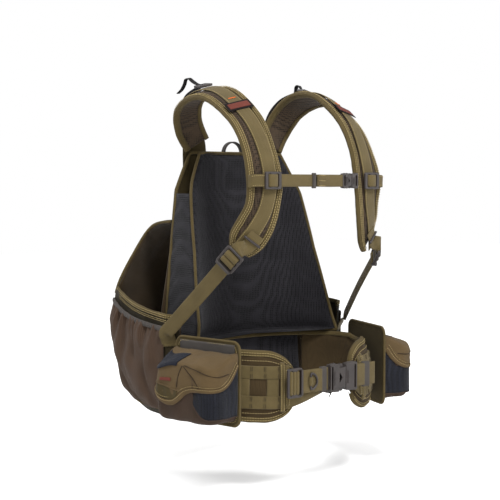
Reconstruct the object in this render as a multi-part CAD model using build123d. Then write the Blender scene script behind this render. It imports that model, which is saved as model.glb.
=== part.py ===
"""Upland strap vest: a padded shoulder harness, hip belt, two belt pouches and a side-loading game bag.

Millimetres. +Z up, the wearer faces -Y, and the wearer's right is -X.
The origin is the centre of the waist opening, halfway up the hip belt at the wearer's sides.
"""

import math
import os

from build123d import *

# ---- driving dimensions ------------------------------------------------------------------
WEB_SHOULDER = 25.0  # shoulder webbing width
WEB_STERNUM = 20.0  # sternum webbing width
WEB_BELT = 38.0  # belt webbing width
WEB_T = 1.8  # webbing thickness
PAD_T = 11.0  # shoulder pad thickness
BELT_T = 11.0  # belt pad thickness
BELT_H = 114.0  # belt pad height
BELT_BACK_H = 92.0  # its height behind the pouches
BELT_GAP = 2.0  # clearance between body and belt
BELT_DROP = 12.0  # how much lower the wings' front ends sit
SHELL_T = 3.0  # bag cloth with its lining
CLEAR = 0.6  # gap between neighbouring sewn pieces
STERNUM_Z = 322.0
STERNUM_Y = -108.4
BELT_Y = -125.4
BELT_Z = -2.0
PANEL_TOP = 372.0
PANEL_BOTTOM = 49.0
PANEL_Y = 148.0  # inner face of the frame panel
PANEL_T = 5.0
BAG_TOP = 249.0
BAG_BOTTOM = -88.0
BAG_HALF = 168.0
BAG_FRONT_Y = 75.0
BAG_FRONT_X = 190.0
BAG_INNER_Y = 154.0
POUCH_W, POUCH_D, POUCH_H = 128.0, 60.0, 110.0
POUCH_ANGLE = 80.0  # degrees round the waist from the front
POUCH_BOTTOM = -62.0

# wearer's torso: height, half width, half depth, centre in Y
TORSO = [
    (-120, 166, 112, 0),
    (0, 158, 108, 0),
    (80, 147, 101, 5),
    (200, 150, 106, 14),
    (320, 164, 112, 22),
    (420, 160, 102, 30),
]
# right shoulder pad: centre line, outward direction, width
PAD_STATIONS = [
    ((-82, 140, 386), (-0.10, 0.97, 0.20), 54),
    ((-98, 141, 416), (-0.20, 0.86, 0.48), 58),
    ((-110, 124, 446), (-0.28, 0.48, 0.84), 60),
    ((-113, 88, 463), (-0.30, 0.16, 0.94), 62),
    ((-112, 45, 465), (-0.30, -0.10, 0.95), 62),
    ((-110, 5, 450), (-0.30, -0.48, 0.83), 60),
    ((-109, -44, 414), (-0.24, -0.74, 0.62), 58),
    ((-109, -73, 370), (-0.17, -0.89, 0.42), 58),
    ((-109, -88, 322), (-0.12, -0.98, 0.16), 64),
    ((-111, -86, 282), (-0.22, -0.97, -0.06), 59),
    ((-118, -78, 252), (-0.36, -0.92, -0.16), 62),
    ((-127, -66, 227), (-0.50, -0.84, -0.20), 60),
    ((-134, -57, 210), (-0.58, -0.79, -0.20), 40),
]
WEB_SHIFT = [0, 0, 0, 0, 0, 2, 5, 5, 3, 0, -2]  # webbing off the pad's middle
# side profile of the game bag's outer wall: Y, Z, half width
BAG_PROFILE = [
    (BAG_INNER_Y + 4, BAG_TOP, 128),
    (214, BAG_TOP - 10, 132),
    (250, 196, 146),
    (275, 132, BAG_HALF),
    (284, 70, BAG_HALF + 6),
    (274, 8, BAG_HALF + 4),
    (246, -44, BAG_HALF),
    (204, -78, BAG_HALF - 8),
    (BAG_INNER_Y + 4, BAG_BOTTOM, BAG_HALF - 16),
]


# ---- small helpers -----------------------------------------------------------------------
def lerp_rows(rows, key):
    """Row of values at key, straight between the rows of a table sorted by its first column."""
    if key <= rows[0][0]:
        return rows[0][1:]
    for low, high in zip(rows, rows[1:]):
        if key <= high[0]:
            t = (key - low[0]) / (high[0] - low[0])
            return tuple(a + t * (b - a) for a, b in zip(low[1:], high[1:]))
    return rows[-1][1:]


def torso_point(angle, z, offset=0.0):
    """Point at a height and an angle from the front (right side positive), offset outwards."""
    half_w, half_d, mid = lerp_rows(TORSO, z)
    a = math.radians(angle)
    out = Vector(-math.sin(a) / half_w, -math.cos(a) / half_d, 0).normalized()
    return Vector(-half_w * math.sin(a), mid - half_d * math.cos(a), z) + out * offset


def face(points):
    return Face(Wire.make_polygon(points, close=True))


def solid_of(faces):
    return Solid(Shell(faces))


def quad(a, b, c, d):
    """Two flat triangles that fill a four-cornered patch."""
    return [face([a, b, c]), face([a, c, d])]


def skin(rings):
    """Closed solid through rings of the same number of points, with flat triangles."""
    faces = []
    count = len(rings[0])
    for low, high in zip(rings, rings[1:]):
        for k in range(count):
            n = (k + 1) % count
            faces += quad(low[k], low[n], high[n], high[k])
    for ring in (rings[0], rings[-1]):
        for k in range(1, count - 1):
            faces.append(face([ring[0], ring[k], ring[k + 1]]))
    return upright(solid_of(faces))


def upright(solid):
    """The same solid with its faces turned outwards."""
    if solid.volume < 0:
        solid = Solid(solid.wrapped.Reversed())
    return solid


def sheet(inner, outer):
    """Closed slab between two grids of points of the same shape."""
    rings = []
    for row_in, row_out in zip(inner, outer):
        rings.append(list(row_in) + list(reversed(row_out)))
    faces = []
    count = len(rings[0])
    for low, high in zip(rings, rings[1:]):
        for k in range(count):
            n = (k + 1) % count
            faces += quad(low[k], low[n], high[n], high[k])
    columns = len(inner[0])
    for row_in, row_out in ((inner[0], outer[0]), (inner[-1], outer[-1])):
        for k in range(columns - 1):
            faces += quad(row_in[k], row_in[k + 1], row_out[k + 1], row_out[k])
    return upright(solid_of(faces))


def strip(stations, thickness, lift=0.0):
    """Flat strap along stations of (point, outward direction, width), lifted off them."""
    rings = []
    for i, (point, out, width) in enumerate(stations):
        before = Vector(*stations[max(i - 1, 0)][0])
        after = Vector(*stations[min(i + 1, len(stations) - 1)][0])
        along = (after - before).normalized()
        out = Vector(*out)
        out = (out - along * out.dot(along)).normalized()
        across = along.cross(out).normalized() * (width / 2)
        base = Vector(*point) + out * lift
        top = base + out * thickness
        rings.append([base - across, base + across, top + across, top - across])
    return skin(rings)


def mirrored(part):
    """The same piece or group of pieces on the other side."""
    solids = [solid.mirror(Plane.YZ) for solid in part.solids()]
    return solids[0] if len(solids) == 1 else Compound(solids)


def both(name, part):
    """A right-hand part and its mirror image."""
    return {f"{name}_right": part, f"{name}_left": mirrored(part)}


def rounded_plate(length, height, thickness, radius):
    """Plate standing in XZ, its thickness along Y, with rounded corners."""
    outline = RectangleRounded(length, height, radius)
    return Rot(90, 0, 0) * extrude(outline, thickness / 2, both=True)


def framed_slots(length, height, thickness, radius, slots):
    """Plate in XZ with upright rectangular slots, each (centre x, width, height)."""
    plate = rounded_plate(length, height, thickness, radius)
    for x, wide, high in slots:
        plate -= Pos(x, 0, 0) * Box(wide, thickness * 3, high)
    return plate


# ---- shoulder harness --------------------------------------------------------------------
def shoulder_harness():
    pad = strip(PAD_STATIONS, PAD_T)
    webbing_run = [
        ((p[0] + shift, p[1] - shift * n[0] / n[1], p[2]), n, WEB_SHOULDER)
        for (p, n, _), shift in zip(PAD_STATIONS[1:-1], WEB_SHIFT)
    ]
    webbing = strip(webbing_run, WEB_T, PAD_T + 3.0)
    patch_run = [(p, n, 44.0) for p, n, _ in PAD_STATIONS[5:7]]
    start, end = Vector(*patch_run[0][0]), Vector(*patch_run[1][0])
    middle = (start + end) * 0.5
    along = (end - start).normalized() * 9
    out = patch_run[0][1]
    patch_run = [(tuple(middle - along), out, 44.0), (tuple(middle + along), out, 44.0)]
    patch = strip(patch_run, 1.2, PAD_T + WEB_T + 3.4)
    made = {}
    made.update(both("shoulder_pad", pad))
    made.update(both("shoulder_webbing", webbing))
    made.update(both("strap_patch", patch))
    made.update(both("load_lifter_webbing", load_lifter()))
    return made


def load_lifter():
    """Thin strap from the pad's crest back and down to the top of the back panel."""
    run = [
        ((-113, 83, 483), (-0.25, 0.20, 0.95), 20),
        ((-104, 136, 468), (-0.15, 0.50, 0.85), 20),
        ((-94, 163, 430), (-0.05, 0.90, 0.40), 20),
        ((-88, 157, 366), (0.0, 1.0, 0.0), 20),
    ]
    return strip(run, WEB_T)


def lower_strap():
    """Webbing from the pad's tip down and back to the game bag's front corner."""
    tip, anchor = LOWER_TIP, LOWER_ANCHOR
    out = (-0.80, -0.52, -0.10)
    steps = [0.0, 0.35, 0.7, 1.0]
    run = [(tuple(tip + (anchor - tip) * s), out, WEB_SHOULDER) for s in steps]
    return strip(run, WEB_T)


LOWER_TIP = Vector(-161, -49, 182)
LOWER_ANCHOR = Vector(-196, 66, 68)


def buckle_frame():
    """Frame at the pad's tip: X across the webbing, Y along it, Z outwards."""
    down = (LOWER_ANCHOR - LOWER_TIP).normalized()
    out = Vector(-0.80, -0.52, -0.10)
    out = (out - down * out.dot(down)).normalized()
    across = down.cross(out)
    return Plane(origin=LOWER_TIP - down * 20.5 + out * 0.9, x_dir=across, z_dir=out)


def ladder_lock():
    """Webbing adjuster: a frame with three bars, the middle one raised."""
    body = extrude(RectangleRounded(35, 38, 5), 3, both=True)
    for y in (11.5, 0.5, -10.5):
        body -= Pos(0, y, 0) * Box(27, 6.5, 12)
    lip = Pos(0, -16.5, 2.5) * Box(31, 6, 4)
    return buckle_frame() * (body + fillet(lip.edges().filter_by(Axis.X), 1.5))


# ---- sternum strap -----------------------------------------------------------------------
SLIDER_X = 105.0
BUCKLE_X = 55.0  # middle of the sternum buckle


def sternum_strap():
    place = Pos(0, STERNUM_Y, STERNUM_Z)
    slot = (-7.5, 5, 21)
    slider = framed_slots(32, 28, 4, 3, [slot, (7.5, 5, 21)])
    cover = Pos(0, -3.0, 0) * Box(8, 1.6, WEB_STERNUM)
    made = {
        "sternum_slider_right": place * (Pos(-SLIDER_X, 0, 0) * slider),
        "sternum_slider_left": place * (Pos(SLIDER_X, 0, 0) * slider),
    }
    female_left, male_right = BUCKLE_X - 17, BUCKLE_X + 18
    made["sternum_webbing_right"] = place * web(-SLIDER_X + 17, female_left - 1, WEB_STERNUM)
    behind = Pos(0, 3.0, 0)
    made["sternum_webbing_left"] = place * (behind * web(male_right, 78, WEB_STERNUM))
    made["sternum_keeper"] = place * keeper(-18, 6, WEB_STERNUM)
    female, male = side_release(34.0, 26.0, 8.0)
    made["sternum_buckle_female"] = place * (Pos(BUCKLE_X, 0, 0) * female)
    made["sternum_buckle_male"] = place * (Pos(BUCKLE_X, 0, 0) * male)
    made["sternum_webbing_folds"] = place * (
        Pos(-SLIDER_X, 0, 0) * cover + Pos(SLIDER_X, 0, 0) * cover
    )
    return made


def web(x_low, x_high, width, thickness=WEB_T):
    """Straight webbing along X, centred on the strap's middle plane."""
    return Pos((x_low + x_high) / 2, 0, 0) * Box(x_high - x_low, thickness, width)


def keeper(x, length, width):
    """Elastic loop round the webbing."""
    outer = Box(length, WEB_T + 4.4, width + 5)
    return Pos(x, 0, 0) * (outer - Box(length + 2, WEB_T + 1.2, width + 1.2))


def side_release(length, height, thickness):
    """Side-release buckle about its middle: the socket to -X and the prongs' part to +X."""
    socket_l = length * 0.56
    socket_x = -length / 2 + socket_l / 2
    wall = 1.6
    female = Box(socket_l, thickness, height)
    female = fillet(female.edges().filter_by(Axis.Y), 2.5)
    mouth_l = socket_l - 6
    mouth = Pos(socket_l / 2 - mouth_l / 2 + 0.5, 0, 0) * Box(
        mouth_l + 1, thickness - 2 * wall, height + 2
    )
    female = Pos(socket_x, 0, 0) * (female - mouth)
    bar_slot = Box(2.6, thickness * 2, height - 7)
    female -= Pos(-length / 2 + 4.2, 0, 0) * bar_slot
    base_l = length - socket_l - 0.6
    base_x = length / 2 - base_l / 2
    base = fillet(Box(base_l, thickness, height).edges().filter_by(Axis.Y), 2.5)
    base -= Pos(base_l / 2 - 4.2, 0, 0) * bar_slot
    male = Pos(base_x, 0, 0) * base
    tongue_t = thickness - 2 * wall - 0.5
    tongue_l = mouth_l - 1.5
    tongue_x = length / 2 - base_l - tongue_l / 2
    male += Pos(tongue_x, 0, 0) * Box(tongue_l + 1, tongue_t, 3.4)
    for side in (-1, 1):
        arm = Pos(tongue_x, 0, side * (height / 2 - 2.3)) * Box(tongue_l, tongue_t, 3.0)
        head = Pos(tongue_x - tongue_l / 4, 0, side * (height / 2 - 1.0)) * Box(
            tongue_l / 2, tongue_t, 3.4
        )
        male += arm + fillet(head.edges().filter_by(Axis.Y), 1.2)
    return female, male


# ---- hip belt ----------------------------------------------------------------------------
def belt_middle(angle):
    """Height of the belt's middle line, lower towards the front of the wings."""
    return -BELT_DROP * max(0.0, math.cos(math.radians(angle))) ** 0.5


def belt_ring(angle, height, offset, thickness):
    """Four corners of an upright cut through a band that follows the waist."""
    mid = belt_middle(angle)
    low, high = mid - height / 2, mid + height / 2
    return [
        torso_point(angle, low, offset),
        torso_point(angle, low, offset + thickness),
        torso_point(angle, high, offset + thickness),
        torso_point(angle, high, offset),
    ]


def band(angles, height, offset, thickness):
    """Band round the waist; height is a number or a function of the angle."""
    tall = height if callable(height) else lambda angle: height
    return skin([belt_ring(a, tall(a), offset, thickness) for a in angles])


def steps(start, end, count):
    return [start + (end - start) * k / count for k in range(count + 1)]


def wing_height(angle):
    """The wing is rounded off at its front end and narrows towards the back."""
    nose = 22.0
    t = min(1.0, max(0.0, (angle - nose) / 20.0))
    tall = lerp_rows([(58, BELT_H), (78, BELT_BACK_H)], angle)[0]
    return 40.0 + (tall - 40.0) * math.sqrt(1 - (1 - t) ** 2)


def hip_belt():
    wing = band(steps(22, 46, 4) + steps(54, 138, 9), wing_height, BELT_GAP, BELT_T)
    lumbar = band(steps(139, 221, 8), BELT_BACK_H, BELT_GAP, BELT_T + 3)
    grid_out = BELT_GAP + BELT_T + CLEAR
    rows = [
        skin([grid_ring(a, z, WEB_SHOULDER, grid_out) for a in steps(31, 58, 4)])
        for z in (-24, 24)
    ]
    columns = [
        skin([grid_ring(a, 0, 23, grid_out) for a in (b, b + 7.5)]) for b in (32, 50)
    ]
    grid = Compound(rows + columns)
    made = both("belt_wing", wing)
    made["lumbar_pad"] = lumbar
    made.update(both("belt_web_grid", grid))
    return made


def grid_ring(angle, rise, height, offset):
    """Cut through a stitched-down webbing on the wing, rise above its middle line."""
    mid = belt_middle(angle) + rise
    low, high = mid - height / 2 + 0.4, mid + height / 2 - 0.4
    return [
        torso_point(angle, low, offset),
        torso_point(angle, low, offset + WEB_T),
        torso_point(angle, high, offset + WEB_T),
        torso_point(angle, high, offset),
    ]


BELT_BUCKLE_X = 26.0


def belt_front():
    place = Pos(0, BELT_Y, BELT_Z)
    length, height, thickness = 58.0, 47.0, 12.0
    female, male = side_release(length, height, thickness)
    half = length / 2
    adjuster = framed_slots(30, 48, 4.5, 4, [(-7.6, 5.5, 40), (7.6, 5.5, 40)])
    right_end = BELT_BUCKLE_X - half - 1
    made = {
        "belt_webbing_right": place * web(-57, right_end, WEB_BELT),
        "belt_webbing_left": place * web(BELT_BUCKLE_X + half + 0.3, 100, WEB_BELT),
        "belt_adjuster": place * (Pos(-75, -1, 0) * adjuster),
        "belt_buckle_female": place * (Pos(BELT_BUCKLE_X, 0, 0) * female),
        "belt_buckle_male": place * (Pos(BELT_BUCKLE_X, 0, 0) * male),
        "belt_keeper_right": place * keeper(-15, 11, WEB_BELT),
        "belt_keeper_left": place * keeper(78, 14, WEB_BELT),
    }
    anchor = skin([wing_anchor_ring(a) for a in (20.5, 25, 30)])
    made.update(both("belt_wing_anchor", anchor))
    made.update(d_ring_parts(place))
    return made


def wing_anchor_ring(angle):
    """Webbing triangle that joins the wing's nose to the front webbing."""
    tall = WEB_BELT + (angle - 20.5) * 1.5
    offset = BELT_GAP + BELT_T + 2.6
    mid = belt_middle(angle)
    low, high = mid - tall / 2, mid + tall / 2
    return [
        torso_point(angle, low, offset),
        torso_point(angle, low, offset + WEB_T),
        torso_point(angle, high, offset + WEB_T),
        torso_point(angle, high, offset),
    ]


D_RING_X = -44.0
D_PIN_Y = -4.8


def d_ring_parts(place):
    """D-ring lying on the webbing, held by its straight side in a sewn tab."""
    wire = 1.8
    half = 13.0
    bar = Cylinder(wire, 2 * half)
    arc = Rot(90, 0, 0) * Torus(half, wire)
    bow = arc & Pos(half, 0, 0) * Box(2 * half, 4 * wire, 4 * half)
    ring = bar + bow
    tab_outer = Box(8, 6.0, 14)
    tab = tab_outer - Cylinder(wire + 0.3, 30)
    shift = Pos(D_RING_X, D_PIN_Y, 0)
    return {
        "d_ring": place * (shift * ring),
        "d_ring_tab": place * (shift * tab),
    }


# ---- back panel --------------------------------------------------------------------------
def panel_half(z):
    """Half width of the frame panel, which widens downwards."""
    return lerp_rows([(PANEL_BOTTOM, 146), (180, 134), (306, 121), (PANEL_TOP, 92)], z)[0]


def pad_spread(z):
    """Half angle of the mesh back pad, which wraps round the hips lower down."""
    return lerp_rows([(PANEL_BOTTOM, 74), (120, 66), (300, 46), (PANEL_TOP, 32)], z)[0]


def back_panel():
    levels = steps(PANEL_BOTTOM, PANEL_TOP, 7)
    inner, outer = [], []
    for z in levels:
        angles = steps(180 - pad_spread(z), 180 + pad_spread(z), 10)
        inner.append([torso_point(a, z, 2) for a in angles])
        outer.append([torso_point(a, z, 12) for a in angles])
    pad = sheet(inner, outer)
    outline = [(panel_half(z), z) for z in levels]
    corners = [(x, z) for x, z in outline] + [(-x, z) for x, z in reversed(outline)]
    frame_wire = Wire.make_polygon([Vector(x, PANEL_Y, z) for x, z in corners], close=True)
    frame = extrude(Face(frame_wire), PANEL_T, dir=(0, 1, 0))
    sheet_cut = Pos(0, PANEL_Y + PANEL_T / 2, 205) * Box(176, 2.2, 290)
    loop = Rot(90, 0, 0) * Torus(20, 3.2)
    loop = loop & Pos(0, 0, 15) * Box(80, 20, 30)
    return {
        "back_pad": pad,
        "frame_panel": frame - sheet_cut,
        "frame_sheet": Pos(0, PANEL_Y + PANEL_T / 2, 205) * Box(175, 1.6, 289),
        "haul_loop": Pos(0, PANEL_Y + PANEL_T / 2, PANEL_TOP + CLEAR) * loop,
    }


# ---- game bag ----------------------------------------------------------------------------
BOW = 12.0  # how far the outer wall bulges at its middle
RIM_BACK_Z, RIM_FRONT_Z = 128.0, 97.0


def wall_rows(offset):
    """Outer wall of the bag: rows down its profile, columns from right to left."""
    shares = steps(-1.0, 1.0, 6)
    rows = []
    for i, (y, z, half) in enumerate(BAG_PROFILE):
        before = BAG_PROFILE[max(i - 1, 0)]
        after = BAG_PROFILE[min(i + 1, len(BAG_PROFILE) - 1)]
        along = Vector(0, after[0] - before[0], after[1] - before[1]).normalized()
        out = Vector(1, 0, 0).cross(along)
        ends = 0.0 if i in (0, len(BAG_PROFILE) - 1) else 1.0
        row = []
        for s in shares:
            bulge = ends * BOW * math.cos(s * math.pi / 2)
            row.append(Vector(s * half, y, z) + out * (bulge + offset))
        rows.append(row)
    return rows


def edge_at(z):
    """Y and half width of the outer wall's edge at a height below the rim."""
    lower = [(pz, py, half) for py, pz, half in reversed(BAG_PROFILE[3:])]
    return lerp_rows(lower, z)


def side_rows(offset, z_low, rim_drop, swell=0.0):
    """Right side wall: rows from low to the rim, columns from the back corner forwards."""
    rows = []
    for v in steps(0.0, 1.0, 5):
        row = []
        for s in steps(0.0, 1.0, 6):
            rim = RIM_BACK_Z + (RIM_FRONT_Z - RIM_BACK_Z) * s - 5 * math.sin(math.pi * s)
            z = z_low + (rim - rim_drop - z_low) * v
            back_y, half = edge_at(z)
            tuck = max(0.0, (-30 - z) / 50.0) ** 2 * 20
            front_x = BAG_FRONT_X - tuck
            belly = 8 * math.sin(math.pi * s)
            x = half + (front_x - half) * s + belly
            y = back_y - 1.6 + (BAG_FRONT_Y - back_y + 1.6) * s
            puff = swell * math.sin(math.pi * s) * math.sin(math.pi * (0.12 + 0.76 * v))
            row.append(Vector(-(x + offset + puff), y, z))
        rows.append(row)
    return rows


def bag_side():
    inner = side_rows(0.8, -78, 0)
    outer = side_rows(0.8 + SHELL_T, -78, 0)
    for rows, lead in ((inner, 0.0), (outer, SHELL_T)):
        for row in rows:
            corner = row[-1]
            row.append(Vector(corner.X + 18, corner.Y - 14 - lead, corner.Z - 2))
    return sheet(inner, outer)


def bag_gusset():
    """Inner wall that joins the lining's edge to the side wall's front corner."""
    back, front = Vector(-151, BAG_INNER_Y - 1.5, 0), Vector(-168.0, 68, 0)
    levels = [(-74, 8.0), (0, 0.0), (76, 2.0)]
    inner, outer = [], []
    for z, tuck in levels:
        row = [back + (front - back) * s + Vector(tuck * s, 0, z) for s in (0.0, 0.5, 1.0)]
        inner.append([p + Vector(1.2, 0, 0) for p in row])
        outer.append([p - Vector(1.2, 0, 0) for p in row])
    return sheet(inner, outer)


def side_pocket():
    low, drop, lift = -66, 20, SHELL_T + 0.8 + 1.6
    return sheet(side_rows(lift, low, drop, 16), side_rows(lift + 1.6, low, drop, 16))


REAR_POCKET = (148.0, 2.0, 78.0)  # half width, bottom and top
REAR_FACE_Y = 324.0


def rear_pocket():
    half, low, high = REAR_POCKET
    rings = []
    for x in steps(-half, half, 8):
        share = x / BAG_HALF
        bulge = BOW * math.cos(share * math.pi / 2)
        end = 1.0 if abs(x) < half else 0.72
        mid, tall = (low + high) / 2, (high - low) / 2 * end
        inner_y = 284 + SHELL_T + CLEAR + 1.4 + bulge
        outer_y = REAR_FACE_Y if end == 1.0 else REAR_FACE_Y - 8
        rings.append(
            [
                Vector(x, inner_y, mid - tall),
                Vector(x, outer_y - 4, mid - tall),
                Vector(x, outer_y, mid - tall + 6),
                Vector(x, outer_y, mid + tall - 6),
                Vector(x, outer_y - 4, mid + tall),
                Vector(x, inner_y, mid + tall),
            ]
        )
    return skin(rings)


ZIP_Z = 62.0
ZIP_HALF = 108.0
ZIP_PIN = 7.2  # pull axis in front of the pocket face


def zipper():
    tape = Pos(0, REAR_FACE_Y + 0.9, ZIP_Z) * Box(2 * ZIP_HALF + 16, 1.2, 16)
    coil = Pos(0, REAR_FACE_Y + 2.1, ZIP_Z) * Box(2 * ZIP_HALF + 10, 1.0, 4)
    body = fillet(Box(11, 2.4, 9).edges().filter_by(Axis.Y), 2.5)
    bridge = Pos(0, 3.0, 0) * (Box(3, 5, 8) - Box(6, 2.4, 5))
    slider = Pos(-ZIP_HALF, REAR_FACE_Y + 4.2, ZIP_Z) * (body + bridge)
    crossbar = Rot(0, 90, 0) * Cylinder(0.8, 9.2)
    legs = Pos(-3.9, 0, -4.5) * Box(1.4, 1.4, 9) + Pos(3.9, 0, -4.5) * Box(1.4, 1.4, 9)
    tab = Pos(0, 0, -19) * Rot(90, 0, 0) * extrude(RectangleRounded(9.2, 22, 3), 0.7, both=True)
    pull = Pos(-ZIP_HALF, REAR_FACE_Y + ZIP_PIN, ZIP_Z) * (crossbar + legs + tab)
    return {"zip_tape": tape + coil, "zip_slider": slider, "zip_pull": pull}


def game_bag():
    wall = sheet(wall_rows(0), wall_rows(SHELL_T))
    levels = [(BAG_BOTTOM + 2, 146), (0, 158), (100, 150), (200, 132), (BAG_TOP - 2, 126)]
    corners = [(x, z) for z, x in levels] + [(-x, z) for z, x in reversed(levels)]
    lining_wire = Wire.make_polygon(
        [Vector(x, BAG_INNER_Y, z) for x, z in corners], close=True
    )
    lining = extrude(Face(lining_wire), 2.4, dir=(0, 1, 0))
    made = both("game_bag_gusset", bag_gusset())
    made |= {"game_bag_wall": wall, "game_bag_lining": lining, "rear_pocket": rear_pocket()}
    made.update(both("game_bag_side", bag_side()))
    made.update(both("side_pocket", side_pocket()))
    made.update(zipper())
    return made


# ---- belt pouches ------------------------------------------------------------------------
def pouch_plane():
    """Right pouch: X backwards along the belt, Y outwards, Z up, at the belt's middle height."""
    a = math.radians(POUCH_ANGLE)
    half_w, half_d, _ = lerp_rows(TORSO, 0)
    out = Vector(-math.sin(a) / half_w, -math.cos(a) / half_d, 0).normalized()
    origin = torso_point(POUCH_ANGLE, 0, BELT_GAP + BELT_T + 3.2)
    return Plane(origin=origin, x_dir=out.cross(Vector(0, 0, 1)), z_dir=(0, 0, 1))


def pouch():
    plane = pouch_plane()
    wall, back_t = 2.6, 3.0
    depth_mid = back_t + CLEAR + POUCH_D / 2
    height = POUCH_H
    body = extrude(RectangleRounded(POUCH_W, POUCH_D, 14), height)
    body -= Pos(0, 0, wall) * extrude(
        RectangleRounded(POUCH_W - 2 * wall, POUCH_D - 2 * wall, 12), height
    )
    body = Pos(0, depth_mid, POUCH_BOTTOM) * body
    back = Pos(0, back_t / 2, -2) * rounded_plate(POUCH_W + 10, 138, back_t, 9)
    top = POUCH_BOTTOM + height
    lid_t = 2.2
    lid_w = POUCH_W + 6
    lid_y0, lid_y1 = back_t + 1.0, back_t + CLEAR + POUCH_D + 1.4
    lid_z = top + 1
    lid = Pos(0, (lid_y0 + lid_y1 + lid_t) / 2, lid_z + lid_t / 2) * Box(
        lid_w, lid_y1 + lid_t - lid_y0, lid_t
    )
    drop = Pos(0, lid_y1 + lid_t / 2, lid_z + lid_t - 29) * Box(lid_w, lid_t, 58)
    return {
        "body": plane * body,
        "back": plane * back,
        "lid": plane * (lid + drop),
    }


def pouches():
    made = {}
    for name, part in pouch().items():
        made.update(both(f"pouch_{name}", part))
    return made


# ---- write -------------------------------------------------------------------------------
def main():
    os.makedirs("parts", exist_ok=True)
    parts = {}
    parts.update(shoulder_harness())
    parts.update(both("lower_strap", lower_strap()))
    parts.update(both("ladder_lock", ladder_lock()))
    parts.update(sternum_strap())
    parts.update(hip_belt())
    parts.update(belt_front())
    parts.update(back_panel())
    parts.update(game_bag())
    parts.update(pouches())
    for name, shape in parts.items():
        export_step(shape, f"parts/{name}.step")
    print(len(parts), "nodes")


main()
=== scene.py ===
"""Strap vest with a game bag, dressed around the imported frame.

Tables and shapes are written in millimetres and turned into metres when a mesh is made.
+Z up, the wearer faces -Y, and the wearer's right is -X.
"""

import math

import bmesh
import bpy
from mathutils import Matrix, Vector, noise


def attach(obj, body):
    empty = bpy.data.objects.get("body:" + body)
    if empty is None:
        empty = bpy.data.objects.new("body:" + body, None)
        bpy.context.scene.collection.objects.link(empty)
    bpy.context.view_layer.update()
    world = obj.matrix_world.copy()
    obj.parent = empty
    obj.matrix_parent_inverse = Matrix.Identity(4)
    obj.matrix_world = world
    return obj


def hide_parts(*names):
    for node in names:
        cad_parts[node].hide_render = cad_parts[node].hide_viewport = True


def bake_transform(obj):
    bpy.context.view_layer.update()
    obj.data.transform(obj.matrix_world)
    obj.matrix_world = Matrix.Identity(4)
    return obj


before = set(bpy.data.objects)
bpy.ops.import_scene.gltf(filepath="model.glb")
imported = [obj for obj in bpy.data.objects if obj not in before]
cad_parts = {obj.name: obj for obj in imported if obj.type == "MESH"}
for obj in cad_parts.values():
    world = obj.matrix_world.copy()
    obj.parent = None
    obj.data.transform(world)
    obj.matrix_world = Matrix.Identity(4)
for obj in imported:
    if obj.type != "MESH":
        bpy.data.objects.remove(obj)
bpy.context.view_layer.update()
MM = 0.001


# ---- mesh helpers ------------------------------------------------------------------------
def link(name, mesh):
    obj = bpy.data.objects.new(name, mesh)
    bpy.context.scene.collection.objects.link(obj)
    return obj


def make(name, verts, faces, uvs=None, smooth=True):
    """Mesh object from millimetres; uvs is one list of (u, v) in metres per face."""
    mesh = bpy.data.meshes.new(name)
    mesh.from_pydata([tuple(c * MM for c in v) for v in verts], [], faces)
    if uvs:
        layer = mesh.uv_layers.new(name="weave")
        flat = [corner for face in uvs for corner in face]
        for loop, corner in zip(layer.data, flat):
            loop.uv = corner
    mesh.polygons.foreach_set("use_smooth", [smooth] * len(mesh.polygons))
    mesh.validate()
    return link(name, mesh)


def ring_lengths(ring, closed):
    total = [0.0]
    count = len(ring) if closed else len(ring) - 1
    for k in range(count):
        total.append(total[-1] + (ring[(k + 1) % len(ring)] - ring[k]).length * MM)
    return total


def loft(name, rings, closed=True, caps=True, smooth=True):
    """Skin through rings of points, with u round the ring and v along it."""
    count = len(rings[0])
    verts = [p for ring in rings for p in ring]
    around = ring_lengths(rings[len(rings) // 2], closed)
    along = [0.0]
    for low, high in zip(rings, rings[1:]):
        step = sum((b - a).length for a, b in zip(low, high)) / count
        along.append(along[-1] + step * MM)
    faces, uvs = [], []
    for i in range(len(rings) - 1):
        for k in range(count if closed else count - 1):
            n = (k + 1) % count
            a, b = i * count, (i + 1) * count
            faces.append((a + k, a + n, b + n, b + k))
            uvs.append(
                [
                    (around[k], along[i]),
                    (around[k + 1], along[i]),
                    (around[k + 1], along[i + 1]),
                    (around[k], along[i + 1]),
                ]
            )
    if closed and caps:
        last = (len(rings) - 1) * count
        faces.append(tuple(reversed(range(count))))
        faces.append(tuple(last + k for k in range(count)))
        uvs.append([(0.0, 0.0)] * count)
        uvs.append([(0.0, 0.0)] * count)
    return make(name, verts, faces, uvs, smooth)


def spline(rows, t):
    """Catmull-Rom through rows of numbers, at t from 0 to len(rows) - 1."""
    i = min(int(t), len(rows) - 2)
    f = t - i
    p0, p1 = rows[max(i - 1, 0)], rows[i]
    p2, p3 = rows[i + 1], rows[min(i + 2, len(rows) - 1)]
    return [
        0.5 * (2 * b + (c - a) * f + (2 * a - 5 * b + 4 * c - d) * f * f
               + (3 * b - a - 3 * c + d) * f ** 3)
        for a, b, c, d in zip(p0, p1, p2, p3)
    ]


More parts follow.
